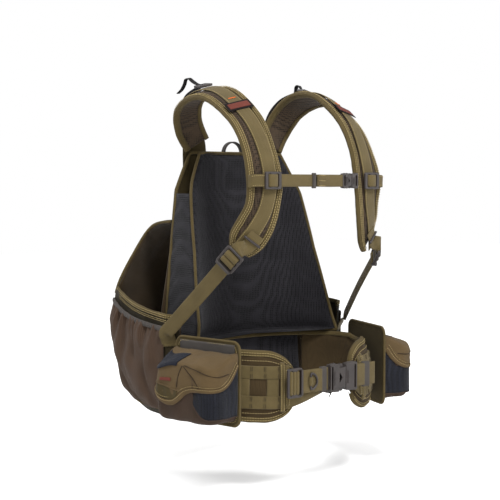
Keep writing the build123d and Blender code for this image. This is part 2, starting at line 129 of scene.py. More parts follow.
def frames(stations, count):
    """Smooth run of (point, along, out, across, width) through (point, out, width) stations."""
    rows = [list(p) + list(n) + [w] for p, n, w in stations]
    fine = [spline(rows, (len(rows) - 1) * k / (count * 4)) for k in range(count * 4 + 1)]
    total = [0.0]
    for a, b in zip(fine, fine[1:]):
        total.append(total[-1] + (Vector(b[:3]) - Vector(a[:3])).length)
    picks, j = [], 0
    for k in range(count + 1):
        goal = total[-1] * k / count
        while j < len(total) - 2 and total[j + 1] < goal:
            j += 1
        f = (goal - total[j]) / max(total[j + 1] - total[j], 1e-9)
        picks.append([x + (y - x) * f for x, y in zip(fine[j], fine[j + 1])])
    run = []
    for k, row in enumerate(picks):
        before, after = picks[max(k - 1, 0)], picks[min(k + 1, count)]
        along = (Vector(after[:3]) - Vector(before[:3])).normalized()
        out = Vector(row[3:6])
        out = (out - along * out.dot(along)).normalized()
        run.append((Vector(row[:3]), along, out, along.cross(out).normalized(), row[6]))
    return run


def swept(name, run, profile, caps=True, closed=True):
    """Skin of profile(i, width) points, (across, height), carried along a run of frames."""
    rings = []
    for i, (point, _, out, across, width) in enumerate(run):
        rings.append([point + across * a + out * h for a, h in profile(i / (len(run) - 1), width)])
    return loft(name, rings, closed, caps)


def tape(thickness, lift=0.0, crown=0.0, wander=0.0):
    """Profile of a woven webbing with soft edges."""
    def profile(share, width):
        half, t = width / 2, thickness
        wave = wander * math.sin(share * 9.0)
        top = [(-0.97, 0.85), (-0.8, 1.0), (-0.4, 1.0), (0, 1.0), (0.4, 1.0), (0.8, 1.0), (0.97, 0.85)]
        points = [(-half, lift + wave + t * 0.3), (-half, lift + wave + t * 0.6)]
        points += [(a * half, lift + wave + t * h + crown * (1 - a * a)) for a, h in top]
        points += [(half, lift + wave + t * 0.6), (half, lift + wave + t * 0.3)]
        points += [(0.9 * half, lift + wave), (0, lift + wave + crown), (-0.9 * half, lift + wave)]
        return points
    return profile


def mirror(obj, name):
    """The same mesh on the other side."""
    mesh = obj.data.copy()
    mesh.transform(Matrix.Scale(-1, 4, (1, 0, 0)))
    mesh.flip_normals()
    twin = link(name, mesh)
    for mod in obj.modifiers:
        new = twin.modifiers.new(mod.name, mod.type)
        for prop in mod.bl_rna.properties:
            if not prop.is_readonly and prop.identifier not in ("name", "type"):
                setattr(new, prop.identifier, getattr(mod, prop.identifier))
    return twin


def subdivide(obj, levels=1):
    mod = obj.modifiers.new("smooth", "SUBSURF")
    mod.levels = mod.render_levels = levels
    return obj


def thicken(obj, thickness, offset=1.0):
    mod = obj.modifiers.new("cloth", "SOLIDIFY")
    mod.thickness, mod.offset, mod.use_rim = thickness * MM, offset, True
    return obj


def apply_all(obj):
    """Bakes an object's modifiers into its mesh."""
    bpy.context.view_layer.update()
    graph = bpy.context.evaluated_depsgraph_get()
    mesh = bpy.data.meshes.new_from_object(obj.evaluated_get(graph))
    obj.modifiers.clear()
    obj.data = mesh
    return obj


def wrinkle(obj, size, depth, stretch=(1, 1, 1), seed=0.0):
    """Moves points along their normals by smooth noise of a given size, in millimetres."""
    mesh = obj.data
    shift = Vector((seed, seed * 1.7, seed * 0.6))
    normals = [v.normal.copy() for v in mesh.vertices]
    for v, n in zip(mesh.vertices, normals):
        p = Vector(c / MM / size * s for c, s in zip(v.co, stretch)) + shift
        v.co += n * (noise.noise(p) * depth * MM)
    return obj


def plate(name, outlines, thickness, edge=0.4, place=None):
    """Flat moulded plate: first outline is its edge, the rest are holes, all in local XY."""
    curve = bpy.data.curves.new(name, "CURVE")
    curve.dimensions, curve.fill_mode = "2D", "BOTH"
    curve.extrude = (thickness / 2 - edge) * MM
    curve.bevel_depth, curve.bevel_resolution = edge * MM, 2
    curve.offset = -edge * MM
    for outline in outlines:
        line = curve.splines.new("POLY")
        line.points.add(len(outline) - 1)
        for point, (x, y) in zip(line.points, outline):
            point.co = (x * MM, y * MM, 0, 1)
        line.use_cyclic_u = True
    obj = link(name + "_curve", curve)
    bpy.context.view_layer.update()
    graph = bpy.context.evaluated_depsgraph_get()
    mesh = bpy.data.meshes.new_from_object(obj.evaluated_get(graph))
    bpy.data.objects.remove(obj)
    if place is not None:
        mesh.transform(place)
    mesh.name = name
    return link(name, mesh)


def rounded(width, height, radius, x=0.0, y=0.0, steps=5):
    """Outline of a rounded rectangle."""
    points = []
    for cx, cy, start in ((1, 1, 0), (-1, 1, 90), (-1, -1, 180), (1, -1, 270)):
        for k in range(steps + 1):
            a = math.radians(start + 90 * k / steps)
            points.append(
                (x + cx * (width / 2 - radius) + radius * math.cos(a),
                 y + cy * (height / 2 - radius) + radius * math.sin(a))
            )
    return points


def join(name, objs):
    """One object from several, keeping their materials."""
    for obj in objs:
        if obj.modifiers:
            apply_all(obj)
    bm = bmesh.new()
    slots = []
    for obj in objs:
        for m in obj.data.materials:
            if m not in slots:
                slots.append(m)
    mesh = bpy.data.meshes.new(name)
    for m in slots:
        mesh.materials.append(m)
    for obj in objs:
        start = len(bm.faces)
        bm.from_mesh(obj.data)
        bm.faces.ensure_lookup_table()
        own = [slots.index(m) for m in obj.data.materials] or [0]
        for f in bm.faces[start:]:
            f.material_index = own[min(f.material_index, len(own) - 1)]
        bpy.data.objects.remove(obj)
    bm.to_mesh(mesh)
    bm.free()
    return link(name, mesh)


def stitches(name, lines, pitch=4.2, length=3.0, radius=0.55):
    """Rows of thread: each line is a list of (point, outward) along which stitches lie."""
    verts, faces = [], []
    for line in lines:
        walked, goal = 0.0, pitch / 2
        for (a, na), (b, _) in zip(line, line[1:]):
            span = (b - a).length
            while span > 1e-6 and walked + span >= goal:
                f = (goal - walked) / span
                centre, along = a.lerp(b, f), (b - a).normalized()
                out = (na - along * na.dot(along)).normalized()
                side = along.cross(out)
                base = len(verts)
                for s, r in ((-0.5, 0.5), (-0.25, 1.0), (0.25, 1.0), (0.5, 0.5)):
                    for c, d in ((1, -0.3), (0.6, 0.9), (-0.6, 0.9), (-1, -0.3)):
                        verts.append(
                            centre + along * (s * length) + side * (c * r * radius)
                            + out * (d * r * radius)
                        )
                for i in range(3):
                    for k in range(4):
                        n = (k + 1) % 4
                        q = base + i * 4
                        faces.append((q + k, q + n, q + 4 + n, q + 4 + k))
                faces.append((base + 3, base + 2, base + 1, base))
                faces.append((base + 12, base + 13, base + 14, base + 15))
                goal += pitch
            walked += span
    return make(name, verts, faces)


def row_on(run, across, height, start=0.0, end=1.0):
    """Line of (point, outward) along a run; across is millimetres from the middle or a function."""
    place = across if callable(across) else lambda width: across
    first, last = int(start * (len(run) - 1)), int(end * (len(run) - 1))
    return [
        (p + side * place(width) + out * height, out)
        for p, _, out, side, width in run[first:last + 1]
    ]


# ---- materials ---------------------------------------------------------------------------
def srgb(r, g, b):
    return tuple(
        c / 12.92 if c <= 0.04045 else ((c + 0.055) / 1.055) ** 2.4
        for c in (r / 255, g / 255, b / 255)
    ) + (1.0,)


class Nodes:
    """Short hand for building a material's node tree."""

    def __init__(self, name):
        self.mat = bpy.data.materials.new(name)
        self.mat.use_nodes = True
        self.tree = self.mat.node_tree
        self.shader = self.tree.nodes["Principled BSDF"]
        self.shader.inputs["Specular IOR Level"].default_value = 0.07

    def add(self, kind, **values):
        node = self.tree.nodes.new("ShaderNode" + kind)
        for key, value in values.items():
            if key in node.inputs:
                node.inputs[key].default_value = value
            else:
                setattr(node, key, value)
        return node

    def join(self, out, into):
        self.tree.links.new(out, into)

    def math(self, operation, a, b=None, c=None):
        node = self.add("Math", operation=operation)
        for socket, value in zip(node.inputs, (a, b, c)):
            if value is None:
                continue
            if isinstance(value, (int, float)):
                socket.default_value = value
            else:
                self.join(value, socket)
        return node.outputs[0]

    def mix(self, share, a, b):
        node = self.add("Mix", data_type="RGBA")
        for socket, value in ((node.inputs[0], share), (node.inputs[6], a), (node.inputs[7], b)):
            if isinstance(value, (int, float, tuple)):
                socket.default_value = value
            else:
                self.join(value, socket)
        return node.outputs[2]

    def noise(self, size_mm, detail=3.0, vector=None):
        node = self.add("TexNoise", Scale=1000.0 / size_mm, Detail=detail)
        if vector is not None:
            self.join(vector, node.inputs["Vector"])
        return node.outputs["Fac"]

    def bump(self, height, strength, depth_mm):
        node = self.add("Bump", Strength=strength, Distance=depth_mm * MM)
        self.join(height, node.inputs["Height"])
        self.join(node.outputs[0], self.shader.inputs["Normal"])


def ribs(n, vector, axis, pitch_mm, turn=0.0):
    """Sine ridges across one axis of a coordinate, from 0 to 1."""
    sep = n.add("SeparateXYZ")
    n.join(vector, sep.inputs[0])
    along = n.math("MULTIPLY", sep.outputs[axis], 2 * math.pi * 1000.0 / pitch_mm)
    if turn:
        along = n.math("ADD", along, turn)
    return n.math("MULTIPLY_ADD", n.math("SINE", along), 0.5, 0.5)


def shade(n, base, dark, light, patch_mm=35.0):
    """Colour with soft dusty patches and a darker grain."""
    coords = n.add("TexCoord").outputs["Object"]
    patch = n.noise(patch_mm, 4.0, coords)
    ramp = n.add("MapRange")
    ramp.inputs["From Min"].default_value, ramp.inputs["From Max"].default_value = 0.35, 0.7
    n.join(patch, ramp.inputs["Value"])
    low = tuple(c * dark for c in base[:3]) + (1.0,)
    high = tuple(min(c * light, 1.0) for c in base[:3]) + (1.0,)
    return n.mix(ramp.outputs[0], low, high), coords


def woven(name, base, pitch=1.1, depth=0.35, rough=0.9, sheen=0.03, dark=0.88, light=1.12, uv=True):
    """Plain weave: warp and weft ridges, with fuzz, dusty patches and painted shade between the yarns."""
    n = Nodes(name)
    colour, coords = shade(n, base, dark, light)
    vector = n.add("UVMap", uv_map="weave").outputs[0] if uv else coords
    warp = ribs(n, vector, 0, pitch)
    weft = ribs(n, vector, 1, pitch)
    cloth = n.math("MAXIMUM", warp, weft) if not uv else n.math("MULTIPLY", warp, weft)
    grain = n.noise(1.6, 2.0, coords)
    height = n.math("ADD", cloth, n.math("MULTIPLY", grain, 0.6))
    # painted shade: the hollows of the weave are coloured towards this darker copy of the base
    deep = tuple(c * 0.62 for c in base[:3]) + (1.0,)
    lift = n.math("MULTIPLY_ADD", cloth, 0.75, 0.35)
    n.join(n.mix(lift, deep, colour), n.shader.inputs["Base Color"])
    n.shader.inputs["Roughness"].default_value = rough
    n.shader.inputs["Sheen Weight"].default_value = sheen
    n.shader.inputs["Sheen Roughness"].default_value = 0.5
    n.bump(height, 0.8, depth)
    return n.mat


def webbing(name, base, pitch=1.9, depth=0.5, rough=0.66):
    """Heavy strap webbing: cross ribs broken by a herringbone along it; painted shade in its grooves."""
    n = Nodes(name)
    colour, _ = shade(n, base, 0.9, 1.12, 25.0)
    vector = n.add("UVMap", uv_map="weave").outputs[0]
    sep = n.add("SeparateXYZ")
    n.join(vector, sep.inputs[0])
    fold = n.math("PINGPONG", sep.outputs[0], 0.0032)
    slant = n.math("ADD", sep.outputs[1], n.math("MULTIPLY", fold, 0.9))
    wave = n.math("SINE", n.math("MULTIPLY", slant, 2 * math.pi * 1000.0 / pitch))
    twill = n.math("MULTIPLY_ADD", wave, 0.5, 0.5)
    cord = ribs(n, vector, 0, 1.3)
    height = n.math("ADD", n.math("MULTIPLY", twill, 0.8), n.math("MULTIPLY", cord, 0.4))
    # painted shade: the twill's grooves are coloured towards this darker copy of the base
    deep = tuple(c * 0.55 for c in base[:3]) + (1.0,)
    lift = n.math("MULTIPLY_ADD", twill, 0.6, 0.45)
    n.join(n.mix(lift, deep, colour), n.shader.inputs["Base Color"])
    n.shader.inputs["Roughness"].default_value = rough
    n.shader.inputs["Sheen Weight"].default_value = 0.05
    n.bump(height, 0.9, depth)
    return n.mat


def netting(name, base, painted_hole_shade, cell=3.4, depth=0.9, rough=0.85, sheen=0.04, edges=(0.25, 0.5)):
    """Spacer mesh or knitted net: small round holes in a soft ground, with painted shade filling the holes.
    """
    n = Nodes(name)
    colour, coords = shade(n, base, 0.85, 1.15)
    cells = n.add("TexVoronoi", Scale=1000.0 / cell, Randomness=0.12)
    n.join(coords, cells.inputs["Vector"])
    ramp = n.add("MapRange")
    ramp.inputs["From Min"].default_value, ramp.inputs["From Max"].default_value = edges
    n.join(cells.outputs["Distance"], ramp.inputs["Value"])
    # painted shade: the openings of the mesh take the dark hole colour
    n.join(n.mix(ramp.outputs[0], painted_hole_shade, colour), n.shader.inputs["Base Color"])
    n.shader.inputs["Roughness"].default_value = rough
    n.shader.inputs["Sheen Weight"].default_value = sheen
    n.bump(ramp.outputs[0], 0.8, depth)
    return n.mat


def ribbed(name, base, pitch=1.6, axis=0, depth=0.5, rough=0.75, dark=0.6):
    """Elastic or stretch knit with fine ribs along it, and painted shade between the ribs."""
    n = Nodes(name)
    colour, coords = shade(n, base, 0.88, 1.12)
    vector = n.add("UVMap", uv_map="weave").outputs[0]
    rib = ribs(n, vector, axis, pitch)
    grain = n.noise(1.1, 2.0, coords)
    # painted shade: the hollows between the ribs are coloured towards this darker copy of the base
    deep = tuple(c * dark for c in base[:3]) + (1.0,)
    lift = n.math("MULTIPLY_ADD", rib, 0.7, 0.3)
    n.join(n.mix(lift, deep, colour), n.shader.inputs["Base Color"])
    n.shader.inputs["Roughness"].default_value = rough
    n.shader.inputs["Sheen Weight"].default_value = 0.03
    n.bump(n.math("ADD", rib, n.math("MULTIPLY", grain, 0.5)), 0.8, depth)
    return n.mat


def moulded(name, base, rough=0.42, metallic=0.0):
    """Moulded plastic or coated metal with a faint orange-peel and scuffed patches."""
    n = Nodes(name)
    colour, coords = shade(n, base, 0.85, 1.25, 18.0)
    n.join(colour, n.shader.inputs["Base Color"])
    scuff = n.add("MapRange")
    scuff.inputs["To Min"].default_value, scuff.inputs["To Max"].default_value = rough - 0.1, rough + 0.16
    n.join(n.noise(6.0, 5.0, coords), scuff.inputs["Value"])
    n.join(scuff.outputs[0], n.shader.inputs["Roughness"])
    n.shader.inputs["Metallic"].default_value = metallic
    n.shader.inputs["Specular IOR Level"].default_value = 0.35
    n.bump(n.noise(0.9, 2.0, coords), 0.25, 0.12)
    return n.mat


MATS = {
    "webbing": webbing("webbing_olive", srgb(82, 71, 45)),
    "webbing_dark": webbing("webbing_dark", srgb(39, 35, 32)),
    "olive": woven("cordura_olive", srgb(62, 53, 32)),
    "binding": woven("binding_olive", srgb(77, 66, 41), pitch=0.9),
    "brown": woven("cordura_brown", srgb(47, 37, 25)),
    "belt": woven("cordura_belt", srgb(50, 40, 25), pitch=1.6, uv=False),
    "lid": woven("cordura_khaki", srgb(81, 66, 44), pitch=1.0),
    "bag": woven("bag_cloth", srgb(39, 33, 19), rough=0.7),
    "lining": woven("bag_lining", srgb(54, 42, 26), rough=0.55, sheen=0.1),
    # the second colour of each mesh is painted shade in its holes
    "pad_mesh": netting("mesh_brown", srgb(55, 45, 35), srgb(22, 18, 14)),
    "back_mesh": netting("mesh_black", srgb(30, 29, 32), srgb(8, 8, 8)),
    "pouch_mesh": netting("mesh_pouch", srgb(25, 26, 32), srgb(9, 9, 12), cell=2.6),
    # knits: dark sets how deep the painted shade between the ribs goes
    "pouch": ribbed("knit_taupe", srgb(54, 41, 32), pitch=1.5),
    "stretch": ribbed("knit_brown", srgb(62, 48, 38), pitch=2.2, depth=0.7),
    "elastic": ribbed("elastic_grey", srgb(67, 63, 60), pitch=1.5, depth=0.6, dark=0.45),
    "neoprene": ribbed("neoprene_navy", srgb(17, 19, 28), pitch=1.2, depth=0.2, dark=0.8),
    "plastic": moulded("acetal_grey", srgb(34, 28, 26)),
    "zip": ribbed("zip_tape", srgb(25, 24, 23), pitch=1.0, depth=0.3),
    "zip_metal": moulded("zip_metal", srgb(74, 71, 67), 0.35, 0.8),
    # tan thread: its own colour made lighter, partly a painted highlight of the bound edges' folds
    "thread": woven("thread_tan_and_highlight", srgb(150, 133, 92), pitch=0.6, uv=False),
    "thread_dark": woven("thread_dark", srgb(55, 47, 34), pitch=0.6, uv=False),
    "patch": woven("patch_red", srgb(92, 46, 38), pitch=0.9),
    "patch_edge": woven("patch_edge", srgb(20, 15, 14), pitch=0.9),
    "orange": woven("thread_orange", srgb(196, 98, 46), pitch=0.6, uv=False),
    "cord": woven("cord_black", srgb(25, 24, 24), pitch=0.9, uv=False),
}


def dress(obj, mat, body="vest", nodes=()):
    """Gives a piece its material and its body, and hides the frame nodes it stands for."""
    if mat:
        obj.data.materials.clear()
        obj.data.materials.append(MATS[mat])
    if body:
        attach(obj, body)
    if nodes:
        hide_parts(*nodes)
    return obj


def pair(obj, mat, nodes=()):
    """Dresses a right-hand piece and makes and dresses its mirror image."""
    twin = mirror(obj, obj.name.replace("_right", "_left"))
    for side, item in (("right", obj), ("left", twin)):
        dress(item, mat, "vest", [f"{n}_{side}" for n in nodes])
    return obj, twin


# ---- shoulder harness --------------------------------------------------------------------
WEB_T, SHOULDER_WEB = 1.8, 25.0
PAD_STATIONS = [
    ((-82, 140, 386), (-0.10, 0.97, 0.20), 54),
    ((-98, 141, 416), (-0.20, 0.86, 0.48), 58),
    ((-110, 124, 446), (-0.28, 0.48, 0.84), 60),
    ((-113, 88, 463), (-0.30, 0.16, 0.94), 62),
    ((-112, 45, 465), (-0.30, -0.10, 0.95), 62),
    ((-110, 5, 450), (-0.30, -0.48, 0.83), 60),
    ((-109, -44, 414), (-0.24, -0.74, 0.62), 58),
    ((-109, -73, 370), (-0.17, -0.89, 0.42), 58),
    ((-109, -88, 322), (-0.12, -0.98, 0.16), 64),
    ((-111, -86, 282), (-0.22, -0.97, -0.06), 59),
    ((-118, -78, 252), (-0.36, -0.92, -0.16), 62),
    ((-127, -66, 227), (-0.50, -0.84, -0.20), 58),
    ((-134, -57, 210), (-0.58, -0.79, -0.20), 38),
]
WEB_SHIFT = [0, 0, 0, 0, 0, 2, 5, 5, 3, 0, -2, -3]  # webbing off the pad's middle, inwards
PAD_RUN = frames(PAD_STATIONS, 110)
BIND_W = 11.0


def pad_profile(share, width):
    """Foam shell: thin bound edges, a stitched valley, then a puffed channel each side."""
    half = width / 2
    tip = min(1.0, (1.0 - share) / 0.05) ** 0.5 if share > 0.95 else 1.0
    puff = 1.0 + 0.06 * math.sin(share * 95.0)
    b = min(BIND_W, half * 0.4)
    top = [
        (-half, 4.2), (-half + 1.5, 6.2), (-half + b * 0.6, 7.2), (-half + b, 6.6),
        (-half + b + 2.2, 9.2 * puff), (-13.5, 10.9 * puff), (-11.5, 9.8), (0, 10.4),
    ]
    under = [(0.6 * half, 0.1), (0.25 * half, -0.3), (-0.25 * half, -0.3), (-0.6 * half, 0.1)]
    side = [(-a, h) for a, h in reversed(top[:-1])]
    edge = [(half - 0.6, 2.0), (half - 2.5, 0.8)]
    back = [(-half + 2.5, 0.8), (-half + 0.6, 2.0)]
    points = top + side + edge + under + back
    return [(a, h * tip + 4.0 * (1 - tip)) for a, h in points]


def harness():
    pad = swept("pad_right", PAD_RUN, pad_profile)
    wrinkle(pad, 26, 0.7, seed=3.0)
    subdivide(pad)
    pair(pad, "pad_mesh", ["shoulder_pad"])

    def binding(side):
        def profile(_, width):
            half = width / 2
            b = min(BIND_W, half * 0.4)
            outer = [
                (half - b - 0.4, 7.6), (half - b, 8.4), (half - b * 0.55, 8.9), (half - 1.5, 7.6),
                (half + 0.9, 4.8), (half + 0.6, 2.2), (half - 1.6, -0.3), (half - b * 0.9, -0.9),
            ]
            inner = [(half - b * 0.9, 0.4), (half - 1.8, 1.4), (half - 0.4, 4.2), (half - b * 0.6, 6.4)]
            return [(side * a, h) for a, h in (outer + inner)][:: side]
        return profile

    for side, tag in ((-1, "inner"), (1, "outer")):
        edge = swept(f"pad_binding_{tag}_right", PAD_RUN, binding(side))
        wrinkle(edge, 12, 0.5, seed=5.0)
        pair(edge, "binding")
    lines = []
    for side in (-1, 1):
        for inset, height in ((2.6, 8.9), (5.6, 9.3), (9.4, 9.3)):
            lines.append(row_on(PAD_RUN, lambda w, s=side, i=inset: s * (w / 2 - i), height))
    pair(stitches("pad_stitches_right", lines), "thread")

    shifted = [
        ((p[0] + s, p[1] - s * n[0] / n[1], p[2]), n, 25.0)
        for (p, n, _), s in zip(PAD_STATIONS[1:], WEB_SHIFT)
    ]
    web_run = frames(shifted, 100)
    webbing_piece = swept("pad_webbing_right", web_run, tape(WEB_T, 11.6, 0.5))
    pair(webbing_piece, "webbing", ["shoulder_webbing"])
    rows = [row_on(web_run, s * 10.8, 13.3) for s in (-1, 1)]
    pair(stitches("pad_webbing_stitches_right", rows, 3.6, 2.5, 0.35), "thread")


harness()


# ---- hardware ----------------------------------------------------------------------------
def facing(x, y, z, turn=0.0):
    """Places a plate's local XY in the world's XZ, its local +Z towards the front."""
    return (
        Matrix.Translation(Vector((x, y, z)) * MM)
        @ Matrix.Rotation(math.radians(turn), 4, "Y")
        @ Matrix.Rotation(math.radians(90), 4, "X")
    )


def lifted(place, dz):
    return place @ Matrix.Translation((0, 0, dz * MM))


def side_release(stem, length, height, thick, place, bodies, nodes):
    """Side-release buckle: hollow socket with a pointed window, and the pronged half."""
    half, top = length / 2, height / 2
    mouth, notch = 0.06 * length, -half + 0.30 * length
    outline = [
        (-half, -top + 3), (-half + 1.5, -top + 1), (notch - 1, -top), (notch + 1.5, -top + 1.2),
        (notch + 2.5, -top + 0.16 * height), (mouth - 2, -top + 0.14 * height),
        (mouth, -top + 0.11 * height),
    ]
    outline += [(x, -y) for x, y in reversed(outline)]
    window = [(notch + 2, -0.2 * height), (notch + 2, 0.2 * height), (mouth - 0.12 * length, 0.0)]
    slot = rounded(2.8, height - 8, 1.2, -half + 4.2)
    shell = 2.0
    parts = [
        plate("s", [outline, window, slot], shell, 0.6, lifted(place, thick / 2 - shell / 2)),
        plate("s", [outline, slot], shell, 0.6, lifted(place, -thick / 2 + shell / 2)),
        plate("s", [rounded(0.28 * length, height - 2, 2, -half + 0.15 * length + 0.4), slot],
              thick - 1.5, 0.5, place),
        plate("s", [rounded(mouth - notch - 4, 1.6, 0.6, (mouth + notch) / 2, -top + 0.2 * height)],
              thick - 1.5, 0.3, place),
        plate("s", [rounded(mouth - notch - 4, 1.6, 0.6, (mouth + notch) / 2, top - 0.2 * height)],
              thick - 1.5, 0.3, place),
    ]
    for k in (-1, 0, 1):
        parts.append(
            plate("s", [rounded(1.2, height * 0.5, 0.5, -half + 7.6 + k * 1.9)], 0.8, 0.3,
                  lifted(place, thick / 2 + 0.2))
        )
    female = join(stem + "_socket", parts)
    dress(female, "plastic", bodies[0], [nodes[0]])
    start = mouth + 0.8
    base = [
        (start, -top + 3), (start + 2, -top + 1), (half - 2, -top), (half, -top + 2),
        (half, top - 2), (half - 2, top), (start + 2, top - 1), (start, top - 3),
    ]
    slots = [rounded(3.0, height - 8, 1.2, half - 4.4)]
    tip = notch + 4.5
    arm = [
        (start + 2, top - 7.5), (start + 2, top - 2.6), (mouth - 2, top - 0.17 * height),
        (tip + 5.5, top - 1.2), (tip + 2.0, top - 0.4), (tip, top - 3.0),
        (tip + 1, top - 0.22 * height - 1), (mouth - 3, top - 0.2 * height - 2.5),
    ]
    parts = [
        plate("m", [base] + slots, thick, 0.9, place),
        plate("m", [arm], thick * 0.5, 0.5, place),
        plate("m", [[(x, -y) for x, y in reversed(arm)]], thick * 0.5, 0.5, place),
        plate("m", [rounded(start + 3 - tip - 3, 3.4, 1, (start + 6 + tip) / 2)], thick * 0.4, 0.4, place),
    ]
    for k in (-1, 1):
        parts.append(
            plate("m", [rounded(1.2, height * 0.45, 0.5, start + 4.2 + k)], 0.8, 0.3,
                  lifted(place, thick / 2 + 0.2))
        )
    male = join(stem + "_plug", parts)
    dress(male, "plastic", bodies[1], [nodes[1]])


def frame_bars(name, width, height, thick, holes, place, radius=3.0, lip=None):
    """Slotted frame such as a tri-glide, with a raised lip when one is asked for."""
    outlines = [rounded(width, height, radius)]
    outlines += [rounded(w, h, min(w, h) * 0.35, x, y) for x, y, w, h in holes]
    parts = [plate("f", outlines, thick, thick * 0.24, place)]
    if lip:
        x, y, w, h = lip
        parts.append(plate("f", [rounded(w, h, 1.2, x, y)], thick * 0.9, 0.7, lifted(place, thick * 0.7)))
    return join(name, parts)


def flat_web(name, points, width, thickness=WEB_T, out=(0, -1, 0), count=40, lift=0.0, **extra):
    """Webbing along points that face one way."""
    run = frames([(p, out, width) for p in points], count)
    return swept(name, run, tape(thickness, lift - thickness / 2, **extra)), run


# ---- sternum strap -----------------------------------------------------------------------
STERNUM_Y, STERNUM_Z, SLIDER_X, STERNUM_BUCKLE_X = -108.4, 322.0, 105.0, 55.0


def sternum():
    y, z = STERNUM_Y, STERNUM_Z
    for side, tag in ((-1, "right"), (1, "left")):
        place = facing(side * SLIDER_X, y, z)
        slider = frame_bars(
            f"sternum_slider_{tag}_body", 32, 28, 4.4,
            [(-7.5, 0, 5.4, 21), (7.5, 0, 5.4, 21)], place,
        )
        dress(slider, "plastic", "vest", [f"sternum_slider_{tag}"])
    xs = [-93, -84, -60, -30, 0, 20, 35]
    dip = [0.5, 0.0, -0.3, 0.2, 0.4, 0.2, 0.0]
    right, run = flat_web("sternum_web_right", [(x, y + d, z) for x, d in zip(xs, dip)], 20)
    dress(right, "webbing", "vest", ["sternum_webbing_right"])
    tail, tail_run = flat_web(
        "sternum_web_tail", [(38, y - 2.4, z), (10, y - 2.6, z - 0.3), (-8, y - 3.4, z), (-15, y - 5.2, z)],
        20, count=24,
    )
    dress(tail, "webbing", "vest", [])
    fold, _ = flat_web("sternum_web_hem", [(-15, y - 5.0, z), (-17.2, y - 3.6, z), (-15, y - 2.4, z)],
        20, count=8)
    dress(fold, "webbing", "vest", [])
    hem = stitches("sternum_hem_stitches", [row_on(tail_run, s * 8.5, 1.2, 0.72, 1.0) for s in (-1, 0, 1)])
    dress(hem, "thread", "vest", [])
    keep = frame_bars("sternum_keeper_band", 6, 25, 6.6, [], facing(-22, y - 0.6, z), 1.0)
    dress(keep, "elastic", "vest", ["sternum_keeper"])
    left, _ = flat_web("sternum_web_left", [(73, y + 2.0, z), (74.6, y + 2.8, z), (76, y + 3.3, z)], 20,
        count=14)
    dress(left, "webbing", "sternum_plug", ["sternum_webbing_left"])
    covers = []
    for side in (-1, 1):
        x = side * SLIDER_X
        cover, _ = flat_web(
            "cover", [(x - 9, y + 0.5, z), (x - 6.5, y - 2.6, z), (x, y - 4.0, z),
                (x + 6.5, y - 2.6, z), (x + 9, y + 0.5, z)],
            19.6, count=16,
        )
        covers.append(cover)
    dress(join("sternum_web_folds", covers), "webbing", "vest", ["sternum_webbing_folds"])
    side_release(
        "sternum", 34.0, 26.0, 8.0, facing(STERNUM_BUCKLE_X, y, z),
        ("vest", "sternum_plug"), ("sternum_buckle_female", "sternum_buckle_male"),
    )
    # webbing sewn to the pad, from its arm side to the slider
    anchor, run = flat_web(
        "sternum_anchor_right",
        [(-142, -92, z - 1), (-139.5, -98, z - 1), (-133, -102, z), (-124, -105, z), (-117, -106.5, z)],
        20, out=(-0.5, -0.86, 0), count=30,
    )
    pair(anchor, "webbing")
    rows = [row_on(run, s * 7.5, 1.2, 0.25, 1.0) for s in (-1, 1)]
    pair(stitches("sternum_anchor_stitches_right", rows, 3.2, 2.2, 0.35), "thread")


sternum()


# ---- hip belt ----------------------------------------------------------------------------
TORSO = [
    (-120, 166, 112, 0), (0, 158, 108, 0), (80, 147, 101, 5),
    (200, 150, 106, 14), (320, 164, 112, 22), (420, 160, 102, 30),
]
BELT_H, BELT_BACK_H, BELT_DROP = 114.0, 92.0, 12.0
BELT_Y, BELT_Z = -125.4, -2.0


def between(rows, key):
    """Values at key, straight between rows sorted by their first number."""
    if key <= rows[0][0]:
        return rows[0][1:]
    for low, high in zip(rows, rows[1:]):
        if key <= high[0]:
            t = (key - low[0]) / (high[0] - low[0])
            return tuple(a + t * (b - a) for a, b in zip(low[1:], high[1:]))
    return rows[-1][1:]


def torso_point(angle, z, offset=0.0):
    """Point on the wearer at an angle from the front, right side positive, offset outwards."""
    half_w, half_d, mid = between(TORSO, z)
    a = math.radians(angle)
    out = Vector((-math.sin(a) / half_w, -math.cos(a) / half_d, 0)).normalized()
    return Vector((-half_w * math.sin(a), mid - half_d * math.cos(a), z)) + out * offset


def torso_out(angle):
    a = math.radians(angle)
    return Vector((-math.sin(a) / 158, -math.cos(a) / 108, 0)).normalized()


def belt_middle(angle):
    return -BELT_DROP * max(0.0, math.cos(math.radians(angle))) ** 0.5


def wing_height(angle):
    t = min(1.0, max(0.0, (angle - 21.0) / 20.0))
    tall = between([(58, BELT_H), (78, BELT_BACK_H)], angle)[0]
    return 34.0 + (tall - 34.0) * math.sqrt(1 - (1 - t) ** 2)


def band(name, angles, tall, profile):
    """Skin of (share of height, offset) profiles carried round the waist."""
    rings = []
    for a in angles:
        mid, half = belt_middle(a), tall(a) / 2
        rings.append([torso_point(a, mid + s * half, 2.0 + h) for s, h in profile(a, half)])
    return loft(name, rings)


def spread(start, end, count):
    return [start + (end - start) * k / count for k in range(count + 1)]


def padded_band(fat, edge=9.0):
    """Profile of a bound pad: thin edges, a stitched valley, and a full middle."""
    def profile(_, half):
        e = min(edge / half, 0.35)
        outer = [
            (-1.0, 3.0), (-1.0 + e * 0.3, 5.6), (-1.0 + e, 6.4), (-1.0 + 1.6 * e, fat * 0.86),
            (-0.45, fat * 0.98), (-0.2, fat * 0.97), (0.0, fat * 0.93), (0.2, fat * 0.97),
            (0.45, fat * 0.98), (1.0 - 1.6 * e, fat * 0.86), (1.0 - e, 6.4), (1.0 - e * 0.3, 5.6),
            (1.0, 3.0),
        ]
        inner = [(0.97, 0.8), (0.6, 0.1), (0.2, 0.0), (-0.2, 0.0), (-0.6, 0.1), (-0.97, 0.8)]
        return outer + inner
    return profile


